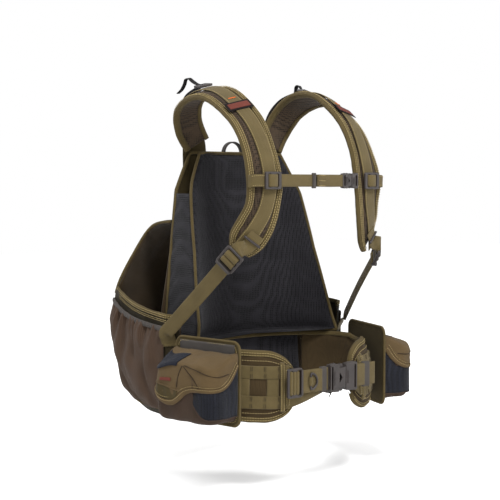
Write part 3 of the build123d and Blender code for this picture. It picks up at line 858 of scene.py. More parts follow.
def waist_line(angles, share, offset, tall=wing_height):
    """Line of (point, outward) round the waist, share of the half height from the middle."""
    return [
        (torso_point(a, belt_middle(a) + share(a) * tall(a) / 2, 2.0 + offset), torso_out(a))
        for a in angles
    ]


def tube_binding(name, angles, top, tall=wing_height):
    """Folded tape over the top or bottom edge of the belt."""
    rings = []
    for a in angles:
        edge = belt_middle(a) + top * tall(a) / 2
        mid = belt_middle(a)
        w = min(9.0, tall(a) * 0.22)
        shape = [
            (-w, 7.4), (-w * 0.8, 8.0), (-w * 0.3, 7.4), (0.6, 5.2), (1.2, 3.0), (0.6, 0.6),
            (-w * 0.5, -0.6), (-w * 0.8, -0.6), (-w * 0.5, 0.6), (0.0, 2.6), (-w * 0.4, 5.6),
        ]
        rings.append([torso_point(a, edge + top * d, 2.0 + h) for d, h in shape])
        if abs(edge - mid) < 1:
            break
    return loft(name, rings)


def inflate(obj, voxel=5.0, pressure=3.0, cap=2.5, frames_run=14):
    """Short cloth simulation that fills a pad, with every point's travel capped."""
    scene = bpy.context.scene
    mod = obj.modifiers.new("remesh", "REMESH")
    mod.mode, mod.voxel_size = "VOXEL", voxel * MM
    apply_all(obj)
    rest = [v.co.copy() for v in obj.data.vertices]
    cloth = obj.modifiers.new("cloth", "CLOTH")
    cloth.settings.use_pressure = True
    cloth.settings.uniform_pressure_force = pressure
    cloth.settings.effector_weights.gravity = 0.0
    cloth.settings.quality = 4
    cloth.settings.tension_stiffness = cloth.settings.compression_stiffness = 30.0
    cloth.point_cache.frame_start, cloth.point_cache.frame_end = 1, frames_run
    for f in range(1, frames_run + 1):
        scene.frame_set(f)
    apply_all(obj)
    for v, home in zip(obj.data.vertices, rest):
        move = v.co - home
        if move.length > cap * MM:
            v.co = home + move.normalized() * (cap * MM)
    scene.frame_set(1)
    obj.data.polygons.foreach_set("use_smooth", [True] * len(obj.data.polygons))
    return subdivide(obj)


def belt_pads():
    angles = spread(21.5, 60, 34) + spread(61, 138, 40)
    wing = band("belt_pad_right", angles, wing_height, padded_band(9.5))
    inflate(wing, 5.0, 3.0, 1.6)
    wrinkle(wing, 30, 0.8, seed=2.0)
    pair(wing, "belt", ["belt_wing"])
    for top, tag in ((1, "top"), (-1, "low")):
        edge = tube_binding(f"belt_binding_{tag}_right", angles, top)
        wrinkle(edge, 10, 0.4, seed=4.0)
        pair(edge, "binding")
    lines = []
    for top in (-1, 1):
        for inset in (3.0, 7.0, 15.0):
            height = 8.2 if inset < 9 else 9.6
            lines.append(waist_line(
                angles[2:], lambda a, t=top, i=inset: t * (1 - i * 2 / wing_height(a)), height))
    pair(stitches("belt_stitches_right", lines), "thread")
    back = lambda a: BELT_BACK_H
    lumbar = band("lumbar_cushion", spread(139, 221, 40), back, padded_band(12.5, 6.0))
    inflate(lumbar, 5.0, 3.0, 1.6)
    dress(lumbar, "back_mesh", "vest", ["lumbar_pad"])
    rims = [tube_binding("r", spread(138, 222, 40), t, back) for t in (-1, 1)]
    dress(join("lumbar_binding", rims), "binding", "vest", [])


def waist_web(name, a0, a1, rise, width, offset, count=20):
    """Upright webbing sewn flat round the wing, rise above its middle line."""
    rings = []
    for a in spread(a0, a1, count):
        mid = belt_middle(a) + rise
        lift = 1.2 * math.exp(-((a - a0) / 1.0) ** 2) + 1.2 * math.exp(-((a - a1) / 1.0) ** 2)
        ring = []
        for s, h in ((-1, 0.4), (-0.96, WEB_T * 0.8), (-0.8, WEB_T), (0, WEB_T), (0.8, WEB_T),
                     (0.96, WEB_T * 0.8), (1, 0.4), (0.9, 0), (0, 0), (-0.9, 0)):
            ring.append(torso_point(a, mid + s * width / 2, offset + h - lift))
        rings.append(ring)
    return loft(name, rings)


def belt_grid():
    webs = [waist_web("w", 31, 58, z, 21, 13.4) for z in (-24, 24)]
    for a in (32, 50):
        rings = []
        for k in range(13):
            z = -34 + 68 * k / 12
            ring = []
            for s, h in ((0, 0.3), (0.04, 1.4), (0.2, 1.7), (0.8, 1.7), (0.96, 1.4), (1, 0.3), (0.5, 0)):
                angle = a + 7.5 * s
                under = -1.4 if abs(z) > 15 else 0.0
                ring.append(torso_point(angle, belt_middle(angle) + z, 13.0 + h + under))
            rings.append(ring)
        webs.append(loft("w", rings))
    pair(join("belt_grid_right", webs), "webbing", ["belt_web_grid"])
    lines = []
    for z in (-24, 24):
        for side in (-1, 1):
            for a0, a1 in ((31.5, 32.5), (40, 41), (48.5, 49.5), (57, 57.8)):
                mid = belt_middle(a0) + z
                for a in (a0, a1):
                    lines.append([
                        (torso_point(a, mid + side * 2, 15.9), torso_out(a)),
                        (torso_point(a, mid + side * 10, 15.9), torso_out(a)),
                    ])
    pair(stitches("belt_bartacks_right", lines, 1.5, 1.3, 0.5), "thread_dark")


belt_pads()
belt_grid()


# ---- front of the belt -------------------------------------------------------------------
BELT_BUCKLE_X, D_RING_X = 26.0, -44.0


def belt_front():
    y, z = BELT_Y, BELT_Z
    adjuster = frame_bars(
        "belt_adjuster_frame", 30, 48, 4.6, [(-7.6, 0, 6.0, 40), (7.6, 0, 6.0, 40)],
        facing(-75, y - 1, z), 4.0, (12.4, 0, 4.0, 42),
    )
    dress(adjuster, "plastic", "vest", ["belt_adjuster"])
    web, _ = flat_web("belt_web_right",
        [(-60, y + 0.6, z), (-50, y, z), (-30, y + 0.3, z), (-12, y - 0.2, z), (-4.5, y, z)], 38)
    dress(web, "webbing", "vest", ["belt_webbing_right"])
    loops = []
    for x0, x1, rise in ((-85.5, -79.0, 3.4), (-79.6, -73.4, 4.4), (-74.0, -66.5, 4.0)):
        mid = (x0 + x1) / 2
        loop, _ = flat_web(
            "l", [(x0, y + 0.8, z), (x0 + 1.3, y - rise * 0.75, z), (mid, y - rise, z),
                (x1 - 1.3, y - rise * 0.75, z), (x1, y + 0.6, z)],
            37.6, count=18,
        )
        loops.append(loop)
    dress(join("belt_web_loops", loops), "webbing", "vest", [])
    tail, _ = flat_web(
        "belt_web_tail", [(-67, y + 1.0, z), (-60, y - 1.0, z), (-52, y - 2.2, z), (-40, y - 2.1, z),
            (-25, y - 2.4, z), (-19, y - 2.6, z)], 37, count=30,
    )
    dress(tail, "webbing", "vest", [])
    side_release(
        "belt", 58.0, 47.0, 12.0, facing(BELT_BUCKLE_X, y, z),
        ("vest", "belt_plug"), ("belt_buckle_female", "belt_buckle_male"),
    )
    left, _ = flat_web(
        "belt_web_left",
        [(55.5, y, z), (66, y - 0.6, z), (80, y - 0.2, z), (92, y + 0.5, z), (100, y + 1.2, z)], 38,
    )
    dress(left, "webbing", "belt_plug", ["belt_webbing_left"])
    fold, _ = flat_web("belt_web_left_fold",
        [(54, y - 1.2, z), (58, y - 3.4, z), (66, y - 3.0, z), (74, y - 2.4, z)], 37, count=20)
    dress(fold, "webbing", "belt_plug", [])
    for tag, x, wide, body in (("right", -15, 11, "vest"), ("left", 78, 14, "belt_plug")):
        rings = []
        for k in range(7):
            xx = x - wide / 2 + wide * k / 6
            soft = 0.5 * math.sin(k * 1.9)
            half_h, half_t = 21.0 + soft * 0.4, 3.0
            ring = []
            for dy, dz in ((-1, -0.94), (-1, -0.5), (-1.04, 0), (-1, 0.5), (-1, 0.94), (-0.7, 1), (0.7, 1),
                           (1, 0.94), (1, 0), (1, -0.94), (0.7, -1), (-0.7, -1)):
                ring.append(Vector((xx, y + dy * half_t, z + dz * half_h)))
            rings.append(ring)
        keeper = loft(f"belt_keeper_{tag}_band", rings)
        dress(keeper, "elastic", body, [f"belt_keeper_{tag}"])
    # D-ring and the tab that holds it
    ring_points = [Vector((0, 0, -12.4)), Vector((0, 0, 12.4))]
    bow = [Vector((13 * math.sin(math.radians(a)), 0, 13 * math.cos(math.radians(a))))
        for a in spread(6, 174, 28)]
    path = ring_points + bow
    wire = tube("d_ring_wire", [p + Vector((D_RING_X, y - 4.8, z)) for p in path], 1.8, closed=True)
    dress(wire, "plastic", "accessory_ring", ["d_ring"])
    tab = []
    for a in spread(0, 360, 20)[:-1]:
        r = math.radians(a)
        tab.append((4.0 * math.cos(r) * (1.0 if math.cos(r) < 0 else 0.9), 3.0 * math.sin(r)))
    rings = []
    for k, zz in enumerate(spread(-7, 7, 6)):
        rings.append([Vector((D_RING_X + px, y - 4.8 + py, z + zz)) for px, py in tab])
    cover = loft("d_ring_tab_web", rings)
    dress(cover, "webbing", "vest", ["d_ring_tab"])
    # wing end strips and the wide webbing that tapers to the front strap
    for sign, tag in ((1, "right"), (-1, "left")):
        rings = []
        for a in spread(17.5, 31, 16):
            tall = 38 + (a - 17.5) * 1.9
            mid = belt_middle(a) * min(1.0, (a - 17.5) / 8) + BELT_Z * (1 - min(1.0, (a - 17.5) / 8))
            base = 15.8 if a > 21 else 15.8 - (21 - a) * 0.6
            ring = []
            for s, h in ((-1, 0.3), (-0.96, 1.5), (0, 1.8), (0.96, 1.5), (1, 0.3), (0, 0)):
                p = torso_point(a, mid + s * tall / 2, base + h)
                ring.append(Vector((p.x * sign, p.y, p.z)))
            rings.append(ring[:: sign])
        wedge = loft(f"belt_anchor_web_{tag}", rings)
        dress(wedge, "webbing", "vest", [f"belt_wing_anchor_{tag}"])
    strips = [waist_web("s", a, a + 2.6, rise, tall, 17.8, 6) for a, rise,
        tall in ((28.8, 1, 80), (25.8, 4, 66))]
    pair(join("belt_end_strips_right", strips), "webbing", [])
    lines = []
    for a in (29.2, 31.0, 26.2, 28.0):
        top = 37 if a > 28.5 else 28
        lines.append([(torso_point(a, belt_middle(a) + zz, 19.9), torso_out(a))
            for zz in spread(-top, top, 8)])
    pair(stitches("belt_end_stitches_right", lines, 3.4, 2.4, 0.4), "thread")
    lower = []
    for k, x in enumerate(spread(-84, 4, 20)):
        share = k / 20
        low = z - 45 + 27 * share
        high = z - 12 - 4 * share
        yy = y + 4.5 + 11 * max(0.0, 1 - share * 2.0) ** 2
        lower.append([
            Vector((x, yy, low)), Vector((x, yy - 1.4, low + 0.8)), Vector((x, yy - 1.6, (low + high) / 2)),
            Vector((x, yy - 1.4, high)), Vector((x, yy, high)), Vector((x, yy + 0.2, (low + high) / 2)),
        ])
    wedge = loft("belt_lower_web", lower)
    dress(wedge, "webbing", "vest", [])


def tube(name, points, radius, closed=False, sides=12):
    """Round wire through points, with parallel-carried frames."""
    count = len(points)
    rings = []
    normal = None
    for i, p in enumerate(points):
        before = points[(i - 1) % count] if closed else points[max(i - 1, 0)]
        after = points[(i + 1) % count] if closed else points[min(i + 1, count - 1)]
        along = (after - before).normalized()
        if normal is None:
            normal = along.orthogonal().normalized()
        normal = (normal - along * normal.dot(along)).normalized()
        side = along.cross(normal)
        r = radius(i / (count - 1)) if callable(radius) else radius
        rings.append([p + (normal * math.cos(t) + side * math.sin(t)) * r
                      for t in (2 * math.pi * k / sides for k in range(sides))])
    if closed:
        rings.append(rings[0])
        obj = loft(name, rings, caps=False)
        bm = bmesh.new()
        bm.from_mesh(obj.data)
        bmesh.ops.remove_doubles(bm, verts=bm.verts, dist=1e-6)
        bm.to_mesh(obj.data)
        bm.free()
        return obj
    return loft(name, rings)


belt_front()


# ---- straps between pad, panel and bag ---------------------------------------------------
LOWER_TIP, LOWER_ANCHOR = Vector((-161, -49, 182)), Vector((-196, 66, 68))
LOWER_OUT = Vector((-0.80, -0.52, -0.10))


def side_straps():
    down = (LOWER_ANCHOR - LOWER_TIP).normalized()
    out = (LOWER_OUT - down * LOWER_OUT.dot(down)).normalized()
    across = down.cross(out)
    centre = LOWER_TIP - down * 20.5 + out * 0.9
    place = Matrix((
        (-across.x, -down.x, out.x, centre.x * MM), (-across.y, -down.y, out.y, centre.y * MM),
        (-across.z, -down.z, out.z, centre.z * MM), (0, 0, 0, 1),
    ))
    lock = frame_bars(
        "ladder_lock_body_right", 35, 38, 5.6,
        [(0, 11.5, 27, 6.0), (0, 1.0, 27, 6.4), (0, -9.5, 27, 6.4)], place, 5.0, (0, -16.2, 30, 5.0),
    )
    pair(lock, "plastic", ["ladder_lock"])
    span = (LOWER_ANCHOR - LOWER_TIP).length
    points = []
    # share of the way down, bow away from the body, twist
    bows = (
        (-0.02, 0.4, 0.0), (0.2, -0.6, 0.0), (0.45, -1.2, 0.1), (0.7, -0.6, 0.2),
        (0.9, 0.3, 0.15), (1.0, 0.8, 0.1),
    )
    for s, bow, turn in bows:
        place_on = tuple(LOWER_TIP + down * (span * s) + out * bow)
        points.append((place_on, tuple(LOWER_OUT + Vector((0, -turn, turn))), SHOULDER_WEB))
    # the end turns inward and is sewn down against the bag's side
    points += [
        ((-193.2, 67.4, 61.0), (-0.65, -0.72, 0.10), SHOULDER_WEB),
        ((-188.7, 69.6, 52.0), (-0.60, -0.80, 0.0), SHOULDER_WEB),
        ((-187.4, 70.3, 44.0), (-0.60, -0.80, 0.0), SHOULDER_WEB),
    ]
    run = frames(points, 76)
    strap = swept("lower_strap_web_right", run, tape(WEB_T))
    pair(strap, "webbing", ["lower_strap"])
    # webbing threaded over the lock's two middle bars, and the run up to the pad's own webbing
    loops = []
    for rows in (
        ((-21, -3.2), (-15, -4.2), (-12.4, -3.0), (-11.2, 0.5), (-9.2, 3.6), (-6.3, 4.4), (-3.4, 3.6),
            (-1.8, 0.5), (-1.4, -2.6)),
        ((21, -1.6), (17, -4.2), (12, -3.2), (9.8, 0.5), (7.4, 3.5), (4.3, 4.3), (1.4, 3.5), (0.0, 0.5),
            (-0.5, -2.6)),
    ):
        loop_points = [(tuple(centre + down * s + out * h), tuple(out), 24.8) for s, h in rows]
        loops.append(swept("l", frames(loop_points, 40), tape(WEB_T)))
    link_points = [
        ((-121.0, -88.0, 236), (-0.40, -0.90, -0.18), 25.0),
        ((-127.5, -84.5, 226.5), (-0.48, -0.86, -0.18), 25.0),
        ((-135.0, -79.0, 216.5), (-0.58, -0.79, -0.18), 25.0),
        (tuple(centre - down * 24 + out * -0.6), tuple(out), 24.8),
        (tuple(centre - down * 15 + out * -3.4), tuple(out), 24.8),
    ]
    loops.append(swept("l", frames(link_points, 40), tape(WEB_T)))
    pair(join("lock_webbing_right", loops), "webbing", [])
    bar_out = Vector((-0.50, -0.84, -0.18)).normalized()
    bar_across = bar_out.cross(Vector((-0.5, 0.35, -0.8)).normalized()).normalized()
    bar_c = Vector((-128.5, -83.8, 225.0)) + bar_out * 2.6
    bar = tube("pad_tip_bar_right", [bar_c + bar_across * s for s in spread(-15.5, 15.5, 8)], 2.1)
    pair(bar, "plastic", [])


def lifters():
    stations = [
        ((-113, 83, 483), (-0.25, 0.20, 0.95), 20), ((-104, 136, 468), (-0.15, 0.50, 0.85), 20),
        ((-94, 163, 430), (-0.05, 0.90, 0.40), 20), ((-88, 157, 366), (0.0, 1.0, 0.0), 20),
    ]
    run = frames(stations, 60)
    strap = swept("lifter_web_right", run, tape(WEB_T))
    pair(strap, "webbing_dark", ["load_lifter_webbing"])
    lock = frame_bars(
        "lifter_lock_right", 26, 22, 4.0, [(0, 5.0, 20, 4.0), (0, -5.0, 20, 4.0)],
        Matrix.Translation(Vector((-112.5, 78, 484.0)) * MM) @ Matrix.Rotation(math.radians(-14), 4, "Y")
        @ Matrix.Rotation(math.radians(5), 4, "X"), 2.5,
    )
    pair(lock, "plastic", [])
    curl = [
        ((-113, 76, 484), (-0.2, 0.1, 1.0), 8), ((-116, 90, 486), (-0.2, -0.2, 1.0), 8),
        ((-119, 101, 492), (-0.2, -0.6, 0.7), 8), ((-121, 108, 497), (-0.2, -0.2, 1.0), 8),
        ((-122, 116, 496), (-0.2, 0.7, 0.6), 8), ((-123, 119, 488), (-0.2, 1.0, 0.1), 8),
        ((-125, 125, 479), (-0.2, 0.8, 0.4), 8), ((-127, 134, 473), (-0.2, 0.4, 0.9), 8),
    ]
    tail = swept("lifter_tail_right", frames(curl, 60), tape(1.6))
    pair(tail, "cord", [])
    # yoke that carries the pad down into the back panel
    yoke = [
        ((-76, 152.5, 330), (-0.05, 1.0, 0.0), 52), ((-78, 150.5, 366), (-0.06, 0.99, 0.1), 52),
        ((-82, 148, 390), (-0.10, 0.97, 0.20), 50), ((-92, 150, 410), (-0.16, 0.92, 0.36), 46),
    ]
    cover = swept("yoke_cover_right", frames(yoke, 24), tape(2.2, 5.5))
    pair(cover, "olive", [])


def patches():
    start, end = Vector((-110, 5, 450)), Vector((-109, -44, 414))
    mid, along = (start + end) * 0.5, (end - start).normalized()
    out = Vector((-0.28, -0.62, 0.74))
    out = (out - along * out.dot(along)).normalized()
    for name, mat, long, wide, lift in (("patch_edge", "patch_edge", 21, 46, 15.6),
        ("patch", "patch", 13, 38, 16.3)):
        pts = [(tuple(mid + along * s), tuple(out), wide) for s in spread(-long / 2, long / 2, 6)]
        piece = swept(f"strap_{name}_right", frames(pts, 12), tape(1.2, lift, 0.3))
        pair(piece, mat, ["strap_patch"] if name == "patch" else [])
    tack = mid - along * 24
    side = along.cross(out)
    lines = [[(tack + side * -7 + out * 15.0 + along * d, out),
        (tack + side * 7 + out * 15.0 + along * d, out)] for d in (-0.8, 0, 0.8)]
    pair(stitches("strap_bartack_right", lines, 1.4, 1.2, 0.5), "orange")


side_straps()
lifters()
patches()


# ---- belt pouches ------------------------------------------------------------------------
POUCH_ANGLE, POUCH_W, POUCH_D, POUCH_BOTTOM, POUCH_TOP = 80.0, 128.0, 60.0, -62.0, 48.0
POUCH_OUT = torso_out(POUCH_ANGLE)
POUCH_AT = torso_point(POUCH_ANGLE, 0, 16.2)
POUCH_ALONG = POUCH_OUT.cross(Vector((0, 0, 1)))
REAR_R, FRONT_R = 18.0, 27.0


def pouch_point(x, y, z):
    """Right pouch: x backwards along the belt, y outwards, z up."""
    p = POUCH_AT + POUCH_ALONG * x + POUCH_OUT * y
    return Vector((p.x, p.y, z))


def ease(value, start, end):
    t = min(max((value - start) / (end - start), 0.0), 1.0)
    return t * t * (3 - 2 * t)


def slump(obj):
    """Lets the top of a right pouch piece hang down outwards, most at the rear corner."""
    for v in obj.data.vertices:
        rel = v.co / MM - POUCH_AT
        x, y, z = rel.dot(POUCH_ALONG), rel.dot(POUCH_OUT), v.co.z / MM
        high, outer = ease(z, -24, 50), ease(y, 6, 58)
        corner = 10 * ease(x, 14, 66) + 6 * ease(-x, 22, 66)
        v.co.z -= high * (5.0 + outer * (9.0 + corner)) * MM
        v.co -= POUCH_ALONG * (5.0 * high * outer * ease(x, 20, 66) * MM)
    return obj


def three_sides(half, near, far, rear_r, front_r, count=72):
    """Outline from the wall's rear end round the outer face to its front end, evenly spaced."""
    pts = [(half, near), (half, far - rear_r)]
    for k in range(1, 9):
        a = math.radians(90 * k / 8)
        pts.append((half - rear_r + rear_r * math.cos(a), far - rear_r + rear_r * math.sin(a)))
    for k in range(9):
        a = math.radians(90 + 90 * k / 8)
        pts.append((-half + front_r + front_r * math.cos(a), far - front_r + front_r * math.sin(a)))
    pts.append((-half, near))
    total = [0.0]
    for a, b in zip(pts, pts[1:]):
        total.append(total[-1] + math.dist(a, b))
    out, j = [], 0
    for k in range(count + 1):
        goal = total[-1] * k / count
        while j < len(total) - 2 and total[j + 1] < goal:
            j += 1
        f = (goal - total[j]) / max(total[j + 1] - total[j], 1e-9)
        out.append(tuple(u + (v - u) * f for u, v in zip(pts[j], pts[j + 1])))
    return out


def pouch_body():
    near, far, half = 3.8, 3.6 + POUCH_D, POUCH_W / 2

    def ring(z, inset, bulge):
        line = three_sides(half - inset, near, far - inset, REAR_R, FRONT_R)
        points = []
        for x, y in line:
            soft = bulge * (1 - (x / half) ** 4) * (y - near) / (far - near)
            points.append(pouch_point(x, y + soft, z))
        back_y = near + (0 if inset < 1 else min(inset, 2.4))
        back = [(-half + inset + (2 * half - 2 * inset) * k / 14, back_y) for k in range(1, 14)]
        return points + [pouch_point(x, y, z) for x, y in back]

    outer = [
        (POUCH_BOTTOM + 1.0, 34, -3), (POUCH_BOTTOM, 20, -2), (POUCH_BOTTOM + 0.6, 9, -1.5),
        (POUCH_BOTTOM + 3, 4.5, -1.2),
        (POUCH_BOTTOM + 8, 2.0, -0.6), (POUCH_BOTTOM + 18, 0.8, -0.2), (-24, 0.4, 0), (0, 0.4, 0),
        (24, 0.7, -0.3), (POUCH_TOP - 6, 1.2, -0.6), (POUCH_TOP, 1.6, -0.8),
    ]
    inner = [(POUCH_TOP, 3.6, -0.8), (POUCH_TOP - 8, 3.4, -0.6), (0, 2.8, 0), (-40, 3.4, -0.4),
             (POUCH_BOTTOM + 4, 6, -1), (POUCH_BOTTOM + 3.2, 14, -1), (POUCH_BOTTOM + 3.0, 24, -2)]
    fine = []
    for rows in (outer, inner):
        for t in range((len(rows) - 1) * 3 + 1):
            fine.append(spline(rows, t / 3))
    body = loft("pouch_shell_right", [ring(*row) for row in fine])
    wrinkle(body, 24, 1.6, seed=9.0)
    subdivide(body)
    apply_all(body)
    pair(slump(body), "pouch", ["pouch_body"])
    # dark mesh panel round the front corner
    line = three_sides(half, near, far, REAR_R, FRONT_R)
    rows, cols = [], [k for k in range(len(line)) if k / (len(line) - 1) > 0.60]
    first, last = cols[0], cols[-1]
    for v in spread(0, 1, 14):
        row = []
        for k in cols:
            x, y = line[k]
            s = (k - first) / (last - first)
            low = -52 + 24 * max(0.0, 1 - s / 0.35) ** 2
            z = 30 + (low - 30) * v
            row.append(pouch_point(x * 1.012, y * 1.012 + 0.3, z))
        rows.append(row)
    panel = loft("pouch_mesh_right", rows, closed=False)
    thicken(panel, 0.8, 0.0)
    wrinkle(panel, 24, 1.2, seed=9.0)
    apply_all(panel)
    pair(slump(panel), "pouch_mesh", [])
    border = [row[0] for row in rows[2:]] + rows[-1][1:]
    seam = tube("pouch_panel_seam_right", [p + POUCH_OUT * 0.5 for p in border], 0.9, sides=8)
    pair(slump(seam), "pouch", [])
    lines = []
    for x in (-26, -29, 48):
        lines.append([(pouch_point(x, far + 1.2, z), POUCH_OUT) for z in spread(-50, 30, 14)])
    sewn = stitches("pouch_stitches_right", lines, 3.6, 2.5, 0.35)
    pair(slump(sewn), "thread_dark", [])


def pouch_wall():
    """Standing wall with a bound edge and a grey lining."""
    half, low, high, r = POUCH_W / 2 + 5, -71.0, 67.0, 13.0
    outline = rounded(2 * half - 3, high - low - 3, r, 0, (high + low) / 2, 8)
    rings = []
    for inset, y in ((10, -0.0), (2, 0.0), (0, 0.6), (0, 2.2), (2, 2.9), (10, 3.2)):
        ring = []
        for x, z in rounded(2 * half - 2 * inset - 3, high - low - 2 * inset - 3,
            max(r - inset * 0.6, 2), 0, (high + low) / 2, 8):
            ring.append(pouch_point(x, y, z))
        rings.append(ring)
    wall = loft("pouch_wall_right", rings)
    pair(wall, "olive", ["pouch_back"])
    path = [pouch_point(x, 1.6, z) for x, z in outline]
    rim = tube("pouch_wall_rim_right", path, 2.3, closed=True, sides=10)
    pair(rim, "binding", [])
    rows = []
    for z in spread(40, 61, 6):
        rows.append([pouch_point(x, 3.5 + 0.5 * math.sin(x * 0.08), z)
            for x in spread(half - 10, -half + 10, 24)])
    lining = loft("pouch_wall_lining_right", rows, closed=False)
    thicken(lining, 0.8, 0.0)
    pair(lining, "elastic", [])
    lines = [
        [(pouch_point(x, 3.6, z), POUCH_OUT) for x, z in
         rounded(2 * half - 2 * i - 3, high - low - 2 * i - 3, r - i * 0.6, 0, (high + low) / 2, 8)]
        for i in (5.5,)
    ]
    pair(stitches("pouch_wall_stitches_right", lines, 3.6, 2.5, 0.35), "thread", [])


LID_ROWS = [
    # share round the outline, height of the hem
    (0.0, 30), (0.07, 20), (0.15, 2), (0.22, -14), (0.29, -25), (0.36, -31), (0.43, -30),
    (0.485, -22), (0.53, -12), (0.59, -5), (0.68, -2.5), (0.78, -1.5), (0.84, 1), (0.90, 8), (0.95, 19),
    (1.0, 34),
]


LID_COLS = 120


def hem_at(s):
    rows = LID_ROWS
    for (a, za), (b, _) in zip(rows, rows[1:]):
        if s <= b:
            i = rows.index((a, za))
            return spline([(r[1],) for r in rows], i + (s - a) / (b - a))[0]
    return rows[-1][1]


def lid_surface(cols=LID_COLS, drop_rows=22):
    """Grid of the hood: from the wall's top edge over the top and down to the wavy hem."""
    near, far, half = 4.6, 3.6 + POUCH_D + 1.4, POUCH_W / 2 + 1.6
    line = three_sides(half, near, far, REAR_R + 2, FRONT_R + 1, cols)
    grid = []
    for k, (x, y) in enumerate(line):
        s = k / cols
        smooth = s * s * (3 - 2 * s)
        sx, sy = half * 0.97 * (1 - 2 * (0.5 * s + 0.5 * smooth)), near
        hem = hem_at(s)
        crest = 51.0
        col = []
        for j in range(10):
            f = j / 10 * 0.93
            px, py = sx + (x - sx) * f, sy + (y - sy) * f
            dome = 2.2 * math.sin(math.pi * min(f, 1.0)) - 2.6 * f ** 4
            col.append((px, py, crest + dome))
        shoulder = crest - 9.0
        for j in range(6):
            a = math.radians(90 * j / 6)
            f = 0.93 + 0.07 * math.sin(a)
            col.append((sx + (x - sx) * f, sy + (y - sy) * f, shoulder + 6.4 * math.cos(a)))
        top = shoulder
        for j in range(drop_rows + 1):
            z = top + (min(hem, top - 3) - top) * j / drop_rows
            flare = 0.7 * math.sin(math.pi * j / drop_rows)
            f = 1.0 + flare * 0.012
            col.append((sx + (x - sx) * f, sy + (y - sy) * f, z))
        grid.append(col)
    rows = []
    for j in range(len(grid[0])):
        row = []
        for k, col in enumerate(grid):
            x, y, z = col[j]
            row.append(pouch_point(x, y, z))
        rows.append(row)
    return rows


